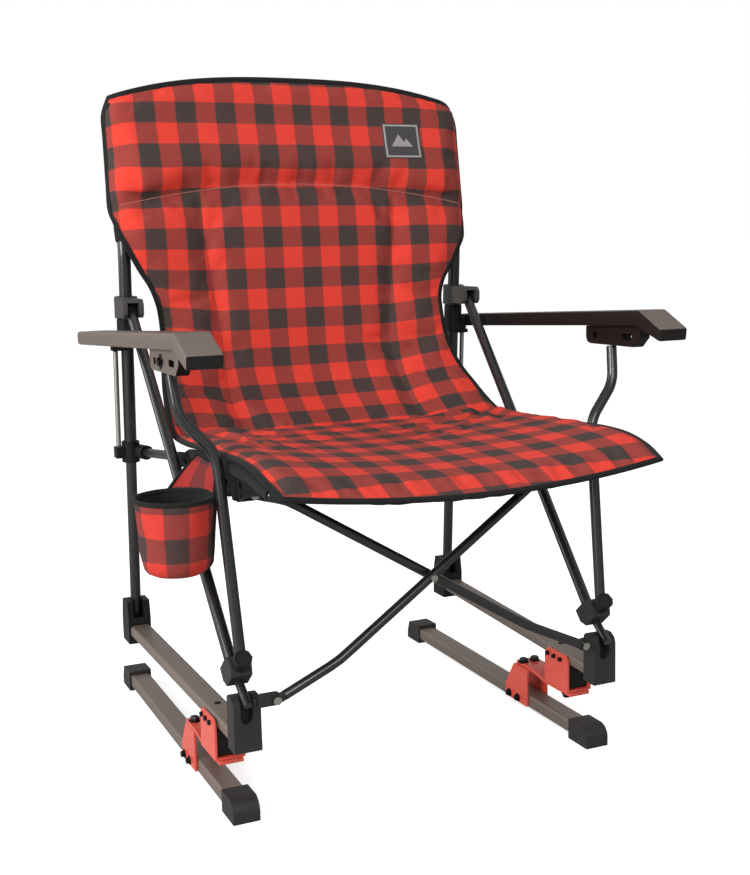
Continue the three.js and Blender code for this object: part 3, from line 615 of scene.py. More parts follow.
def closed_sheet(bm, layers, coordinates, inner=0):
    """Closed sheet between two grids of points; inner is the second grid's material number.

    coordinates gives the cloth coordinates at a row and column.
    """
    cloth = bm.loops.layers.uv.new("cloth")
    rows, columns = len(layers[0]), len(layers[0][0])

    def face(corners, material):
        made = bm.faces.new([layers[layer][k][m] for layer, k, m in corners])
        made.material_index = material
        for loop, (_, k, m) in zip(made.loops, corners):
            loop[cloth].uv = coordinates(k, m)

    for k in range(rows - 1):
        for m in range(columns - 1):
            for layer, material in ((0, 0), (1, inner)):
                face([(layer, k, m), (layer, k + 1, m), (layer, k + 1, m + 1), (layer, k, m + 1)], material)
    ring = outline_keys(rows, columns)
    for one, two in zip(ring, ring[1:] + ring[:1]):
        face([(0, *one), (0, *two), (1, *two), (1, *one)], 0)


# ---------------------------------------------------------------- hard parts

def post_at(z, x=266.0, side=1):
    """Middle of a back post at a height."""
    return at(side * x, 272.2 - 0.0629 * z, z)


def make_side(word, side):
    base, lower, upper = f"base_{word}", f"frame_{word}", f"upper_{word}"
    for node, finish, body, width in (
        ("base_rail", "taupe_steel", base, 0.0008),
        ("base_front_cap", "cap_plastic", base, 0.0022),
        ("base_rear_cap", "cap_plastic", base, 0.0022),
        ("saddle_bracket", "red_steel", base, 0.0009),
        ("cradle_bracket", "red_steel", lower, 0.0009),
        ("lower_rail", "taupe_steel", lower, 0.0008),
        ("front_boot", "cap_plastic", lower, 0.0012),
        ("rear_boot", "black_plastic", lower, 0.0022),
        ("rear_slider", "black_plastic", upper, 0.0014),
        ("upper_hub", "grey_plastic", upper, 0.0014),
        ("arm_clamp", "black_plastic", upper, 0.0014),
        ("front_hub", "cap_plastic", upper, 0.0016),
        ("post_clamp", "black_plastic", upper, 0.0014),
        ("front_seat_bracket", "black_plastic", upper, 0.0008),
        ("rear_seat_bracket", "black_plastic", upper, 0.0007),
    ):
        softened(f"{node}_{word}", finish, body, width)

    # The armrest's inner faces, toward the chair's middle, and every face of the arm bracket but its outer
    # one get the near-black copy of the arm plastic as painted shade; the front faces get it as their own
    # dark colour.
    def inner_or_front(normal):
        return normal.x * side < -0.5 or normal.y < -0.8

    softened(f"armrest_{word}", "arm_plastic", upper, 0.003, ("arm_dark_face_and_shade", inner_or_front))
    softened(f"arm_bracket_{word}", "arm_plastic", upper, 0.0012, ("arm_dark_face_and_shade", lambda n: n.x * side < 0.5))
    spring = softened(f"leaf_spring_{word}", "red_steel", None, 0.0007)
    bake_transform(spring)

    def place(x, y, z):
        return at(side * x, y, z)

    def pipe(name, node, points, radius, body=upper, **extra):
        tube(f"{name}_{word}", points, radius, body, [f"{node}_{word}"], **extra)

    def places(*points):
        return [place(*p) for p in points]

    pipe("inner_tube", "inner_post", [post_at(110, side=side), post_at(670, side=side)], 0.0077, lower)
    pipe("back_tube", "back_post", [post_at(380, side=side), post_at(682, side=side), place(267, 256, 884)],
         0.009, bend=0.12)
    pipe("leg_tube", "diagonal_leg", places((255.1, -177.7, 183.9), (269, 193, 598)), 0.0075)
    pipe("strut_rod", "arm_strut", [post_at(399.7, 283.5, side), post_at(540.3, 283.5, side)], 0.0035,
         finish="bright_steel", sides=20)
    pipe("arm_tube", "arm_post",
         places((253.5, -202.4, 201), (262.3, -162.5, 448), (304, -152.3, 496), (307.9, -142.7, 544.5)),
         0.007, bend=0.05)
    pipe("foot_tube", "foot_plug", places((254, -190.5, 176.8), (253, -221, 155.5)), 0.0056)
    pipe("seat_tube", "seat_rail", places(
        (250.3, 211.5, 392.6), (240, 100, 404), (240, -90, 428.3), (241, -215, 429.4), (244.5, -307, 421.2)),
        0.0065, bend=0.2)


def make_fasteners(word, side):
    """Bolts, the plug in the lower rail and the pad under it, on one side."""
    base, lower, upper = f"base_{word}", f"frame_{word}", f"upper_{word}"
    out, up = Vector((side, 0, 0)), Vector((0, 0, 1))

    def spot(x, y, z):
        return at(side * x, y, z)

    def saddle(bm):
        for x in (243, 262):
            hex_bolt(bm, spot(x, -22, 68.9), up, 0.0062, 0.0052)
        for y, z in ((4, 15), (-20, 15)):
            hex_bolt(bm, spot(270.7, y, z), out, 0.0048, 0.004)
            hex_bolt(bm, spot(234.3, y, z), -out, 0.0048, 0.004)

    def cradle(bm):
        for y in (-102, -118, -134):
            hex_bolt(bm, spot(274.9, y, 109), out, 0.0036, 0.003, False)
            hex_bolt(bm, spot(234.1, y, 109), -out, 0.0036, 0.003, False)
        for x in (244, 264):
            hex_bolt(bm, spot(x, -136, 59), -up, 0.0055, 0.0048)

    def plugs(bm):
        button = [(0.0042, -0.002), (0.0046, 0.0003), (0.0036, 0.0012), (0.001, 0.0014)]
        lathe(bm, button, spot(255, -104, 120.4), up)

    def arm(bm):
        hex_bolt(bm, spot(318.2, -142, 559), out, 0.0052, 0.0036)
        for turn in (0, math.pi / 2):
            along = Vector((0, math.cos(turn), math.sin(turn))) * 0.0085
            centre = spot(318.6, -142, 559)
            sweep(bm, [centre - along, centre + along], circle(0.0021, 10))

    def joints(bm):
        hex_bolt(bm, spot(252.8, 3, 415), out, 0.0045, 0.0035)
        hex_bolt(bm, spot(262, -187.7, 189.8), out, 0.0048, 0.0038)

    fasteners(f"saddle_bolts_{word}", base, "dark_bolt", saddle)
    fasteners(f"cradle_bolts_{word}", lower, "dark_bolt", cradle)
    fasteners(f"rail_plug_{word}", lower, "black_plastic", plugs)
    fasteners(f"arm_bolt_{word}", upper, "dark_bolt", arm)
    fasteners(f"frame_bolts_{word}", upper, "dark_bolt", joints)
    # Black block under the rail, between the cradle's walls: it carries the rail, and its black fills the
    # dark gap there as painted shade.
    pad = [(-147, 67.7), (-94, 67.7), (-94, 101), (-147, 101)]
    slab_piece(f"rail_pad_{word}", pad, side * 254.5 - 15, side * 254.5 + 15, "black_plastic", lower, 0.002)


def make_brace():
    """The two crossing bars and the rivets at their ends and crossing."""
    for which in ("front", "rear"):
        softened(f"brace_bar_{which}", "black_steel", f"brace_{which}", 0.0006)
    for node, body in (
        ("crossing_rivet", "brace_front"), ("lower_brace_rivet_right", "brace_front"),
        ("upper_brace_rivet_left", "brace_front"), ("lower_brace_rivet_left", "brace_rear"),
        ("upper_brace_rivet_right", "brace_rear"),
    ):
        softened(node, "bright_steel", body, 0.0005)


# ---------------------------------------------------------------- sling

# Sections of the sling in millimetres, from the top of the back to the seat's front edge: y, z and
# half width at the edge, then y and z at the middle, where the cloth hollows.
SECTIONS = np.array((
    (243, 899, 271, 254, 931), (239, 873, 281.5, 251, 903), (234, 840, 282.3, 247.5, 868),
    (229, 805, 282.8, 243.5, 832), (224.5, 773, 283.2, 240, 803), (220.5, 743, 283.5, 235, 776),
    (215, 721, 279, 231, 750), (211, 697, 273, 227.5, 721), (209, 676, 262.6, 225, 697),
    (209, 654, 251, 223, 673), (209, 630, 236.5, 221.5, 646), (206, 606, 228.5, 219.5, 619),
    (200, 586, 226.8, 217, 592), (193, 563, 227, 214, 565), (185, 540, 229, 210, 538),
    (174, 519, 232.7, 203, 510), (155, 496, 238, 190, 483), (124, 472, 244.5, 168, 458),
    (90, 449, 250, 138, 436), (58, 437, 252, 106, 422.5), (10, 435, 252, 60, 419.5),
    (-45, 438, 252, 0, 419), (-100, 442, 252, -62, 419.5), (-160, 444.5, 252, -130, 420),
    (-215, 446.5, 252.5, -196, 419), (-262, 444, 253.5, -254, 416), (-303, 435, 252.8, -305, 412),
    (-338, 423, 247.5, -349, 406),
))
BOLSTER, CREASE = 5, 19  # the sections where the cloth is sewn across
ROWS = (21, 56, 60)  # rows of cloth above the bolster's seam, down to the crease, and on the seat
HALF_COLUMNS = 37
SEAM_COLUMN = 20  # the lengthwise seams lie this many columns from the middle
ROW_ZERO = 8.0  # a dark stripe of the check crosses the edge near this section,
ROW_ZERO_HEIGHT = 697  # at this height in millimetres
# Bulge and droop of the bolster by rows above its seam, in millimetres
BULGE = ((0, 1, 2, 3, 4, 6, 9, 14), (0, 0, 3, 13, 15, 11, 5, 0))
DROOP = ((0, 1, 2, 3, 4, 6, 8), (0, 0, 4, 10, 8, 4, 0))


def section_at(t):
    """The sling's section at t, smoothly between the listed ones."""
    last = len(SECTIONS) - 1
    i = min(int(t), last - 1)
    f = t - i
    a, b, c, d = (SECTIONS[max(0, min(last, i + k))] for k in (-1, 0, 1, 2))
    square, cube = 2 * a - 5 * b + 4 * c - d, 3 * b - a - 3 * c + d
    return 0.5 * (2 * b + (c - a) * f + square * f * f + cube * f ** 3)


def seam_share(t):
    """Share of the half width at which the lengthwise seam lies."""
    half = section_at(t)[2]
    place = np.interp(t, (0, 5, 8, 11, 14, 17, 27), (158, 156, 150, 142, 134, 140, 138))
    return place / half


def sling_point(a, t):
    """Middle of the cloth, in millimetres; a runs from -1 to 1 across."""
    edge_y, edge_z, half, mid_y, mid_z = section_at(t)
    hollow = 1 - abs(a) ** (2.7 - 0.7 * min(t / BOLSTER, 1))
    y = edge_y + (mid_y - edge_y) * hollow
    z = edge_z + (mid_z - edge_z) * hollow
    wrap = max(0.0, (abs(a) - 0.9) / 0.1) ** 2 * np.interp(t, (0, 5.5, 7.2), (18, 18, 0))
    return np.array((a * half, y + wrap, z))


def spaced_rows():
    """Places along the sling for each row, evenly spaced within the three runs between seams."""
    places = []
    for first, last, count in ((0, BOLSTER, ROWS[0]), (BOLSTER, CREASE, ROWS[1]),
                               (CREASE, len(SECTIONS) - 1, ROWS[2])):
        fine = np.linspace(first, last, 200)
        line = np.array([(sling_point(0, t) + sling_point(1, t)) / 2 for t in fine])
        run = np.concatenate(([0], np.cumsum(np.linalg.norm(np.diff(line, axis=0), axis=1))))
        even = np.interp(np.linspace(0, run[-1], count + 1), run, fine)
        places.extend(even if not places else even[1:])
    return np.array(places)


def crease_folds():
    """Folds of the cloth: (start, end, width, depth) in the cloth's own metres."""
    pick = np.random.default_rng(11)
    folds = []
    for side in (-1, 1):
        for k in range(11):
            angle = math.radians(8 + 7.5 * k + pick.uniform(-3, 3))
            reach = pick.uniform(0.09, 0.26)
            begin = np.array((side * pick.uniform(0.205, 0.235), pick.uniform(0.012, 0.05)))
            end = begin + reach * np.array((-side * math.cos(angle), math.sin(angle)))
            width = pick.uniform(0.006, 0.011)
            folds.append((begin, end, width, width * pick.uniform(0.25, 0.5)))
    for k in range(12):
        x = pick.uniform(-0.2, 0.2)
        begin = np.array((x, pick.uniform(0.015, 0.12)))
        end = begin + np.array((pick.uniform(-0.09, 0.09), pick.uniform(-0.012, 0.02)))
        width = pick.uniform(0.006, 0.011)
        folds.append((begin, end, width, width * pick.uniform(0.2, 0.4)))
    return folds


def fold_depth(points, folds):
    """How far the folds move the cloth at each point of its own coordinates."""
    total = np.zeros(len(points))
    for begin, end, width, depth in folds:
        along = end - begin
        share = np.clip((points - begin) @ along / (along @ along), 0, 1)
        gap = np.linalg.norm(points - begin - share[:, None] * along, axis=1) / width
        fade = np.sin(math.pi * np.clip(share, 0.04, 0.96)) ** 0.6
        total += depth * fade * (0.6 * np.exp(-((gap - 1.9) ** 2)) - np.exp(-gap * gap))
    return total


def add_folds(sling, piece):
    """Wrinkles that run over the seat from the corners where the back meets it."""
    mesh = piece.data
    count = len(mesh.vertices)
    where = np.full((count, 2), 9.0)
    uv = mesh.uv_layers["cloth"].data
    for loop in mesh.loops:
        where[loop.vertex_index] = uv[loop.index].uv
    where[:, 0] += CHECK_X
    where[:, 1] -= sling.cloth[sling.seam_rows[1], HALF_COLUMNS, 1]
    depth = fold_depth(where, crease_folds())
    half_width, first, last = 0.262, 0.006, 0.43  # the folds end at this distance from the middle, and
    aside = np.clip((half_width - abs(where[:, 0])) / 0.03, 0, 1)  # lie between these past the crease
    ahead = np.clip((where[:, 1] - first) / 0.03, 0, 1) * np.clip((last - where[:, 1]) / 0.05, 0, 1)
    depth *= aside * ahead
    for vertex, move in zip(mesh.vertices, depth):
        if abs(move) > 1e-5:
            vertex.co += vertex.normal * (move if vertex.normal.z > -0.2 else -move)
    mesh.update()


class Sling:
    """Grid of the sling: middle surface, normals, cloth coordinates and how far each point is from a seam."""

    def __init__(self):
        places = spaced_rows()
        self.places = places
        self.rows, self.columns = len(places), 2 * HALF_COLUMNS + 1
        self.middle = np.zeros((self.rows, self.columns, 3))
        for j, t in enumerate(places):
            split = seam_share(t)
            for i in range(self.columns):
                step = abs(i - HALF_COLUMNS)
                if step <= SEAM_COLUMN:
                    share = split * step / SEAM_COLUMN
                else:
                    share = split + (1 - split) * (step - SEAM_COLUMN) / (HALF_COLUMNS - SEAM_COLUMN)
                self.middle[j, i] = sling_point(math.copysign(share, i - HALF_COLUMNS), t)
        along = np.gradient(self.middle, axis=0)
        across = np.gradient(self.middle, axis=1)
        normal = np.cross(across, along)
        self.normal = normal / np.linalg.norm(normal, axis=2, keepdims=True)
        if self.normal[10, HALF_COLUMNS, 1] > 0:
            self.normal *= -1
        steps = np.linalg.norm(np.diff(self.middle, axis=0), axis=2)
        run = np.concatenate((np.zeros((1, self.columns)), np.cumsum(steps, axis=0)))
        zero = int(np.argmin(abs(places - ROW_ZERO)))
        level = self.middle[:, :, 2]
        for i in range(self.columns):
            back = level[: zero + 30, i][::-1]
            run[:, i] -= np.interp(ROW_ZERO_HEIGHT, back, run[: zero + 30, i][::-1])
        self.cloth = np.stack((self.middle[:, :, 0] / 1000 - CHECK_X, run / 1000), axis=2)
        self.seam_rows = (ROWS[0], ROWS[0] + ROWS[1])
        self.seam_columns = (HALF_COLUMNS - SEAM_COLUMN, HALF_COLUMNS + SEAM_COLUMN)

    def from_seam(self, j, i):
        """Distance in rows or columns to the nearest edge or seam."""
        gaps = [j, self.rows - 1 - j, i, self.columns - 1 - i]
        gaps += [abs(j - row) for row in self.seam_rows]
        if self.seam_rows[0] <= j <= self.seam_rows[1]:
            gaps += [abs(i - column) for column in self.seam_columns]
        return min(gaps)

    def pinned(self, j, i):
        return self.from_seam(j, i) == 0 or min(j, self.rows - 1 - j, i, self.columns - 1 - i) <= 1


def make_sling_mesh(sling):
    """Closed padded slab over the sling's grid: check cloth in front, black cloth behind."""
    pucker = np.random.default_rng(5).uniform(-1.3, 1.0, (40, 40))
    bm = bmesh.new()
    cloth = bm.loops.layers.uv.new("cloth")
    layers = []
    for sign in (1, -1):
        layer = []
        for j in range(sling.rows):
            for i in range(sling.columns):
                gap = sling.from_seam(j, i)
                fill = 1 - math.exp(-gap / 1.5)
                deep = 4.4 + pucker[j % 40, i % 40] * math.exp(-abs(gap - 1) / 1.2)
                place = sling.middle[j, i].copy()
                if j < ROWS[0]:
                    above = ROWS[0] - j
                    deep = 4.6
                    if sign > 0:
                        side_fade = min(1.0, (HALF_COLUMNS - abs(i - HALF_COLUMNS)) / 6)
                        deep += np.interp(above, *BULGE) * side_fade
                        place[2] -= np.interp(above, *DROOP) * side_fade
                place += sling.normal[j, i] * sign * (1.2 + deep * fill)
                layer.append(bm.verts.new(at(*place)))
        layers.append(layer)
    wide = sling.columns
    front, back = layers

    def face(corners, keys, index):
        made = bm.faces.new(corners)
        made.material_index = index
        made.smooth = True
        for loop, (j, i) in zip(made.loops, keys):
            loop[cloth].uv = sling.cloth[j, i]

    for j in range(sling.rows - 1):
        for i in range(wide - 1):
            keys = ((j, i), (j + 1, i), (j + 1, i + 1), (j, i + 1))
            face([front[b * wide + a] for b, a in keys], keys, 0)
            face([back[b * wide + a] for b, a in reversed(keys)], list(reversed(keys)), 1)
    ring = outline_keys(sling.rows, wide)
    for one, two in zip(ring, ring[1:] + ring[:1]):
        a, b = one[0] * wide + one[1], two[0] * wide + two[1]
        face([front[a], front[b], back[b], back[a]], (one, two, two, one), 1)
    bmesh.ops.recalc_face_normals(bm, faces=bm.faces)
    mesh = bpy.data.meshes.new("sling")
    bm.to_mesh(mesh)
    bm.free()
    mesh.materials.append(MATERIALS["check_fabric"])
    mesh.materials.append(MATERIALS["backing"])
    return mesh, ring


def inflate(piece, held):
    """Cloth simulation of a padded piece. Held points stay; no other point moves further than cap."""
    cap, frames = 0.006, 20
    before = np.array([v.co for v in piece.data.vertices])
    group = piece.vertex_groups.new(name="held")
    group.add(held, 1.0, "REPLACE")
    cloth = piece.modifiers.new("cloth", "CLOTH")
    for key, value in {
        "quality": 4, "mass": 0.3, "tension_stiffness": 18, "compression_stiffness": 18, "shear_stiffness": 8,
        "bending_stiffness": 0.6, "shrink_min": -0.03, "use_pressure": True, "uniform_pressure_force": 9.0,
        "vertex_group_mass": "held",
    }.items():
        setattr(cloth.settings, key, value)
    cloth.settings.effector_weights.gravity = 0
    cloth.collision_settings.use_collision = False
    scene = bpy.context.scene
    cloth.point_cache.frame_start, cloth.point_cache.frame_end = 1, frames
    for frame_number in range(1, frames + 1):
        scene.frame_set(frame_number)
    shape = piece.evaluated_get(bpy.context.evaluated_depsgraph_get()).to_mesh()
    after = np.array([v.co for v in shape.vertices])
    piece.modifiers.remove(cloth)
    piece.vertex_groups.clear()
    scene.frame_set(1)
    moved = after - before
    length = np.linalg.norm(moved, axis=1, keepdims=True)
    moved *= np.minimum(1, cap / np.maximum(length, 1e-9))
    piece.data.vertices.foreach_set("co", (before + moved).astype(np.float32).ravel())
    piece.data.update()


def subdivide_once(piece):
    """One level of smooth subdivision, applied to the mesh."""
    modifier = piece.modifiers.new("smooth", "SUBSURF")
    modifier.levels = modifier.render_levels = 1
    graph = bpy.context.evaluated_depsgraph_get()
    smooth = piece.evaluated_get(graph)
    mesh = bpy.data.meshes.new_from_object(smooth, preserve_all_data_layers=True, depsgraph=graph)
    piece.modifiers.remove(modifier)
    old = piece.data
    piece.data = mesh
    mesh.name = old.name
    bpy.data.meshes.remove(old)


def make_sling():
    sling = Sling()
    mesh, ring = make_sling_mesh(sling)
    piece = new_piece("sling", mesh, "check_fabric", None, ("back_fabric", "seat_fabric"))
    count = sling.rows * sling.columns
    held = [k + layer * count for layer in (0, 1) for k in range(count)
            if sling.pinned(k // sling.columns, k % sling.columns)]
    inflate(piece, held)
    subdivide_once(piece)
    add_folds(sling, piece)
    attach(piece, "upper_right")
    return sling, piece, ring


def outline_frame(sling, j, i):
    """Point, outward direction and normal at a point of the sling's outline."""
    out = np.zeros(3)
    if i == 0:
        out += sling.middle[j, 0] - sling.middle[j, 2]
    if i == sling.columns - 1:
        out += sling.middle[j, i] - sling.middle[j, i - 2]
    if j == 0:
        out += sling.middle[0, i] - sling.middle[2, i]
    if j == sling.rows - 1:
        out += sling.middle[j, i] - sling.middle[j - 2, i]
    return sling.middle[j, i], out / np.linalg.norm(out), sling.normal[j, i]


# Section of the binding tape: share of its width outwards, and height from the middle in millimetres
BINDING = ((-1, 3.5), (-0.62, 3.3), (-0.25, 2.8), (0.04, 2.2), (0.2, 1.2), (0.26, 0), (0.2, -1.2),
           (0.04, -2.2), (-0.25, -2.8), (-0.62, -3.3), (-1, -3.5), (-0.9, 0))


def binding_width(sling, j, i):
    """Width of the tape in millimetres: wide over the top, narrow round the seat's front."""
    across = abs(i - HALF_COLUMNS) / HALF_COLUMNS
    along = np.interp(sling.places[j], (0, 1.5, 12, 18, 26.5, 27), (8.5, 6.2, 6.0, 6.0, 5.5, 4.5))
    return along if across > 0.97 or j == 0 else min(along, 4.5)


def make_binding(sling, ring):
    """Tape folded over the sling's whole outline, and the stitches that hold it."""
    bm = bmesh.new()
    cloth = bm.loops.layers.uv.new("cloth")
    rings, runs, run, before = [], [], 0.0, None
    for j, i in ring:
        point, out, normal = outline_frame(sling, j, i)
        run += 0 if before is None else float(np.linalg.norm(point - before)) / 1000
        before = point
        runs.append(run)
        width = binding_width(sling, j, i)
        rings.append([bm.verts.new(at(*(point + out * o * width + normal * n))) for o, n in BINDING])
    runs.append(run + 0.0076)
    for face, keys in skin(bm, rings + rings[:1], ends=False):
        for loop, (m, k) in zip(face.loops, keys):
            loop[cloth].uv = (m * 0.003, runs[k])
    piece = new_piece("sling_binding", from_bmesh(bm, "sling_binding", 60), "binding", "upper_right")
    bm = bmesh.new()
    line = []
    for j, i in ring:
        point, out, normal = outline_frame(sling, j, i)
        inset = 0.78 * binding_width(sling, j, i)
        line.append((at(*(point - out * inset + normal * 3.45)), Vector(normal)))
    stitch_line(bm, line + line[:1])
    edge = new_piece("binding_stitches", from_bmesh(bm, "binding_stitches"), "stitch", "upper_right")
    return [piece, edge]


def stitch_line(bm, line, length=0.0034, gap=0.0018, radius=0.00042):
    """Separate stitches along a list of (point, normal)."""
    points = [p for p, _ in line]
    runs = [0.0]
    for a, b in zip(points, points[1:]):
        runs.append(runs[-1] + (b - a).length)

    def along(distance):
        k = min(max(int(np.searchsorted(runs, distance)) - 1, 0), len(points) - 2)
        share = (distance - runs[k]) / max(runs[k + 1] - runs[k], 1e-9)
        return points[k].lerp(points[k + 1], share), line[k][1].lerp(line[k + 1][1], share).normalized()

    place = 0.0
    while place + length < runs[-1]:
        (a, normal), (b, _) = along(place), along(place + length)
        forward = (b - a).normalized()
        side = forward.cross(normal).normalized()
        rings = []
        for share, size, lift in ((0, 0.35, -0.6), (0.2, 0.95, 0.35), (0.8, 0.95, 0.35), (1, 0.35, -0.6)):
            centre = a.lerp(b, share) + normal * radius * lift
            wide, tall = side * radius * size, normal * radius * size
            rings.append([bm.verts.new(centre + wide * math.cos(t) + tall * math.sin(t))
                          for t in (0, 1.26, 2.51, 3.77, 5.03)])
        skin(bm, rings)
        place += length + gap


def make_seams(sling, piece):
    """Stitched lines on the sling's front: pale along the bolster's seam, dark on the others."""
    vertices = piece.data.vertices

    def line(keys):
        out = []
        for j, i in keys:
            vertex = vertices[j * sling.columns + i]
            normal = Vector(sling.normal[j, i])
            out.append((vertex.co + normal * 0.0003, normal))
        return out

    first, last = sling.seam_rows
    across = range(2, sling.columns - 2)
    bm = bmesh.new()
    stitch_line(bm, line([(first, i) for i in across]), 0.0032, 0.0010, 0.0008)
    pale = new_piece("bolster_stitches", from_bmesh(bm, "bolster_stitches"), "pale_stitch", "upper_right")
    bm = bmesh.new()
    for column in sling.seam_columns:
        stitch_line(bm, line([(j, column) for j in range(first + 1, last)]))
    stitch_line(bm, line([(last, i) for i in across]))
    dark = new_piece("panel_stitches", from_bmesh(bm, "panel_stitches"), "stitch", "upper_right")
    return [pale, dark]


def make_label(piece):
    """Plain woven patch sewn on the back near its upper corner."""
    faces = [p.vertices for p in piece.data.polygons]
    tree = BVHTree.FromPolygons([v.co for v in piece.data.vertices], faces)
    bm = bmesh.new()
    wide, tall = 24, 20
    layers = []
    for layer in (0.0013, -0.0004):
        rows = []
        for k in range(tall + 1):
            row = []
            for m in range(wide + 1):
                start = at(142 + 62 * m / wide, -500, 868 - 53 * k / tall)
                hit = tree.ray_cast(start, Vector((0, 1, 0)))[0]
                rim = min(m, wide - m, k, tall - k)
                lift = layer if rim or layer < 0 else layer * 0.6
                row.append(bm.verts.new(hit - Vector((0, lift, 0))))
            rows.append(row)
        layers.append(rows)
    closed_sheet(bm, layers, lambda k, m: (m / wide, 1 - k / tall))
    return new_piece("label_patch", from_bmesh(bm, "label_patch", 60), "label", "upper_right")


def fabric_tube(name, points, radius, body, bend=0.1, seed=0):
    """Cloth sleeve pulled over a tube: slightly wrinkled, gathered at both ends."""
    sides, creases = 40, 0.0006
    path = rounded_path(points, bend)
    fine = []
    for a, b in zip(path, path[1:]):
        parts = max(1, round((b - a).length / 0.005))
        fine += [a.lerp(b, k / parts) for k in range(parts)]
    fine.append(path[-1])
    bm = bmesh.new()
    cloth = bm.loops.layers.uv.new("cloth")
    rings, runs = [], []
    run = 0.0
    last = len(fine) - 1
    for k, (point, (side, up)) in enumerate(zip(fine, frames_along(fine))):
        run += (point - fine[k - 1]).length if k else 0
        end = min(k, last - k)
        ring = []
        for m in range(sides):
            t = math.tau * m / sides
            wave = math.sin(3 * t + run * 70 + seed) * math.sin(run * 160 + 2 * t + seed) * creases
            size = radius * (0.93, 0.985, 0.985, 1)[min(end, 3)] + wave * min(1, end / 4)
            ring.append(bm.verts.new(point + (side * math.cos(t) + up * math.sin(t)) * size))
        rings.append(ring)
        runs.append(run)
    width = math.tau * radius / sides
    for face, keys in skin(bm, rings):
        for loop, (m, k) in zip(face.loops, keys):
            loop[cloth].uv = (m * width, runs[k])
    return new_piece(name, from_bmesh(bm, name, 50), "backing", body)


def make_sleeves():
    """Cloth channels that hold the sling on the back posts and on the seat rails."""
    for word, side in SIDES:
        body = f"upper_{word}"
        foot = post_at(684, 267, side)
        post = [foot.lerp(at(side * 267, 256, 884), 0.06), at(side * 267, 256.4, 888)]
        fabric_tube(f"post_sleeve_{word}", post, 0.0108, body, seed=side)
        rail = [at(side * x, y, z) for x, y, z in (
            (241.5, 20, 417), (241, -90, 429.5), (241.5, -215, 430.5), (244, -285, 425),
            (244.3, -303, 422.6))]
        fabric_tube(f"seat_sleeve_{word}", rail, 0.0088, body, bend=0.15, seed=2 + side)


# ---------------------------------------------------------------- cup holder

CUP = (-307.5, -136)
CUP_SIDES = 56
CUP_COLUMN = math.radians(-104)  # a dark stripe runs down the pocket here
CUP_ROW = 340  # and another runs round it at this height in millimetres
# Radius and height of the pocket's section: the outside, the rim at RIM, then the inside
CUP_SECTION = (
    (6, 303), (20, 303), (30, 304.6), (36.5, 308), (40.3, 313.5), (42.2, 322), (43, 334), (43.8, 345),
    (44.8, 357), (45.9, 369), (46.9, 380), (47.8, 389), (48.6, 394.5), (48.2, 396.3), (46.6, 395.8),
    (45.2, 390), (43.5, 370), (41.5, 345), (39.8, 322), (35, 312.5), (20, 308.5), (6, 308),
)
RIM = 12


def cup_point(radius, turn, z):
    """Point round the pocket's axis, in millimetres."""
    return CUP[0] + radius * math.cos(turn), CUP[1] + radius * math.sin(turn), z


def cup_ring(radius, z, wrinkle):
    ring = []
    for k in range(CUP_SIDES):
        t = math.tau * k / CUP_SIDES
        r = radius + wrinkle * (math.sin(5 * t + z * 0.09) + 0.6 * math.sin(9 * t - z * 0.13))
        ring.append(cup_point(r, t, z))
    return ring


def make_cup_holder():
    """Cloth pocket with a stiffened rim: check cloth outside, black backing over the rim and inside."""
    bm = bmesh.new()
    cloth = bm.loops.layers.uv.new("cloth")
    rings = []
    for index, (radius, z) in enumerate(CUP_SECTION):
        wrinkle = 0.9 if 3 < index < RIM else 0.3
        rings.append([bm.verts.new(at(*p)) for p in cup_ring(radius, z, wrinkle)])
    steps = np.linalg.norm(np.diff(np.array(CUP_SECTION), axis=0), axis=1)
    runs = np.concatenate(([0], np.cumsum(steps)))
    start = float(np.interp(CUP_ROW, [z for _, z in CUP_SECTION[4:RIM + 1]], runs[4:RIM + 1]))
    for face, keys in skin(bm, rings):
        m, k = keys[0]
        face.material_index = 0 if k < RIM else 1
        for loop, (a, b) in zip(face.loops, keys):
            angle = math.tau * a / CUP_SIDES - CUP_COLUMN
            angle = (angle + math.pi) % math.tau - math.pi
            if a > m and angle < -3:
                angle += math.tau
            loop[cloth].uv = (angle * 0.046, (runs[b] - start) / 1000)
    mesh = from_bmesh(bm, "cup_pocket", 60)
    mesh.materials.append(MATERIALS["cup_cloth_shaded"])
    mesh.materials.append(MATERIALS["backing"])
    new_piece("cup_pocket", mesh, "check_fabric", "upper_right", ("cup_holder",))


def strip(name, rows, thick, finish, inner=None):
    """Cloth strip through rows of points (millimetres), given a thickness along its own normal."""
    points = np.array(rows, float)
    normal = np.cross(np.gradient(points, axis=0), np.gradient(points, axis=1))
    normal /= np.linalg.norm(normal, axis=2, keepdims=True)
    count, wide = points.shape[:2]
    run = np.concatenate(([0], np.cumsum(np.linalg.norm(np.diff(points[:, wide // 2], axis=0), axis=1))))
    side = np.concatenate(([0], np.cumsum(np.linalg.norm(np.diff(points[0], axis=0), axis=1))))
    bm = bmesh.new()
    layers = []
    for sign in (0.5, -0.5):
        layers.append([[bm.verts.new(at(*(points[k, m] + normal[k, m] * thick * sign))) for m in range(wide)]
                       for k in range(count)])
    closed_sheet(bm, layers, lambda k, m: (side[m] * 0.001, run[k] * 0.001), 1 if inner else 0)
    mesh = from_bmesh(bm, name, 60)
    mesh.materials.append(MATERIALS[finish])
    if inner:
        mesh.materials.append(MATERIALS[inner])
    return new_piece(name, mesh, finish, "upper_right")


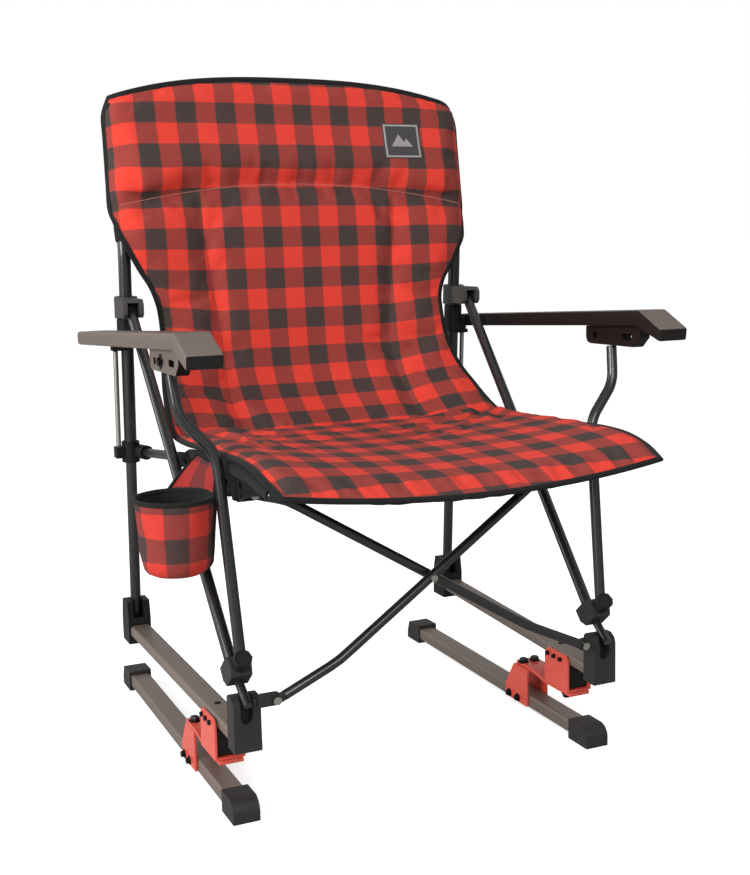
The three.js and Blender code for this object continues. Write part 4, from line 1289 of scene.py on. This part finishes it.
def make_cup_bindings():
    """Binding over the pocket's rim and down its front seam."""
    section = ((49.3, 393.6), (49.7, 395.2), (49.1, 397.4), (47, 398), (45.4, 396.8), (45, 394))
    turns = [math.tau * k / 72 for k in range(73)]
    strip("cup_rim_binding", [[cup_point(r, t, z) for r, z in section] for t in turns], 1.1, "binding")
    rows = []
    for k in range(21):
        z = 309 + (395 - 309) * k / 20
        radius = np.interp(z, (309, 316, 334, 357, 395), (36.5, 42, 44, 45.8, 49.4))
        rows.append([cup_point(radius + (1.2 - 0.03 * step ** 2), math.radians(-27) + step / 46, z)
                     for step in (-4.5, -2.2, 0, 2.2, 4.5)])
    strip("cup_seam_binding", rows, 1.3, "binding")


def make_flap():
    """Flap from the pocket's inner rim up to the seat's edge, with a bound edge on both sides."""
    steps = 12
    rows = []
    for k in range(steps + 1):
        u = k / steps
        row = []
        for m in range(steps + 1):
            w = m / steps
            foot = np.array(cup_point(46.6, math.radians(-35 + 130 * w), 384.0))
            head = np.array((-252.5, -142 + 94 * w, 428.0))
            bow = math.sin(math.pi * u) * (2.0 + 3.0 * math.sin(math.pi * w))
            p = foot + (head - foot) * u
            p[0] -= bow * 0.6
            p[2] += bow * 0.5
            row.append(p)
        rows.append(row)
    flap = strip("cup_flap", rows, 2.0, "flap_cloth_shaded", inner="backing")
    section = [(0.0024 * math.cos(t), 0.0032 * math.sin(t)) for t in np.linspace(0, math.tau, 12)[:-1]]
    for name, edge in (("front", 0), ("rear", steps)):
        bm = bmesh.new()
        cloth = bm.loops.layers.uv.new("cloth")
        sweep(bm, [at(*row[edge]) for row in rows], section)
        for face in bm.faces:
            for loop in face.loops:
                loop[cloth].uv = (loop.vert.co.y, loop.vert.co.z)
        mesh = from_bmesh(bm, "flap_binding", 60)
        new_piece(f"flap_binding_{name}", mesh, "binding", "upper_right")


make_camera()
make_studio()
for _word, _side in SIDES:
    make_side(_word, _side)
    make_fasteners(_word, _side)
make_brace()
_sling, _cloth, _ring = make_sling()
_soft = [_cloth, *make_binding(_sling, _ring), *make_seams(_sling, _cloth), make_label(_cloth)]
for _piece in _soft:
    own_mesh(_piece)
make_sleeves()
make_cup_holder()
make_cup_bindings()
make_flap()
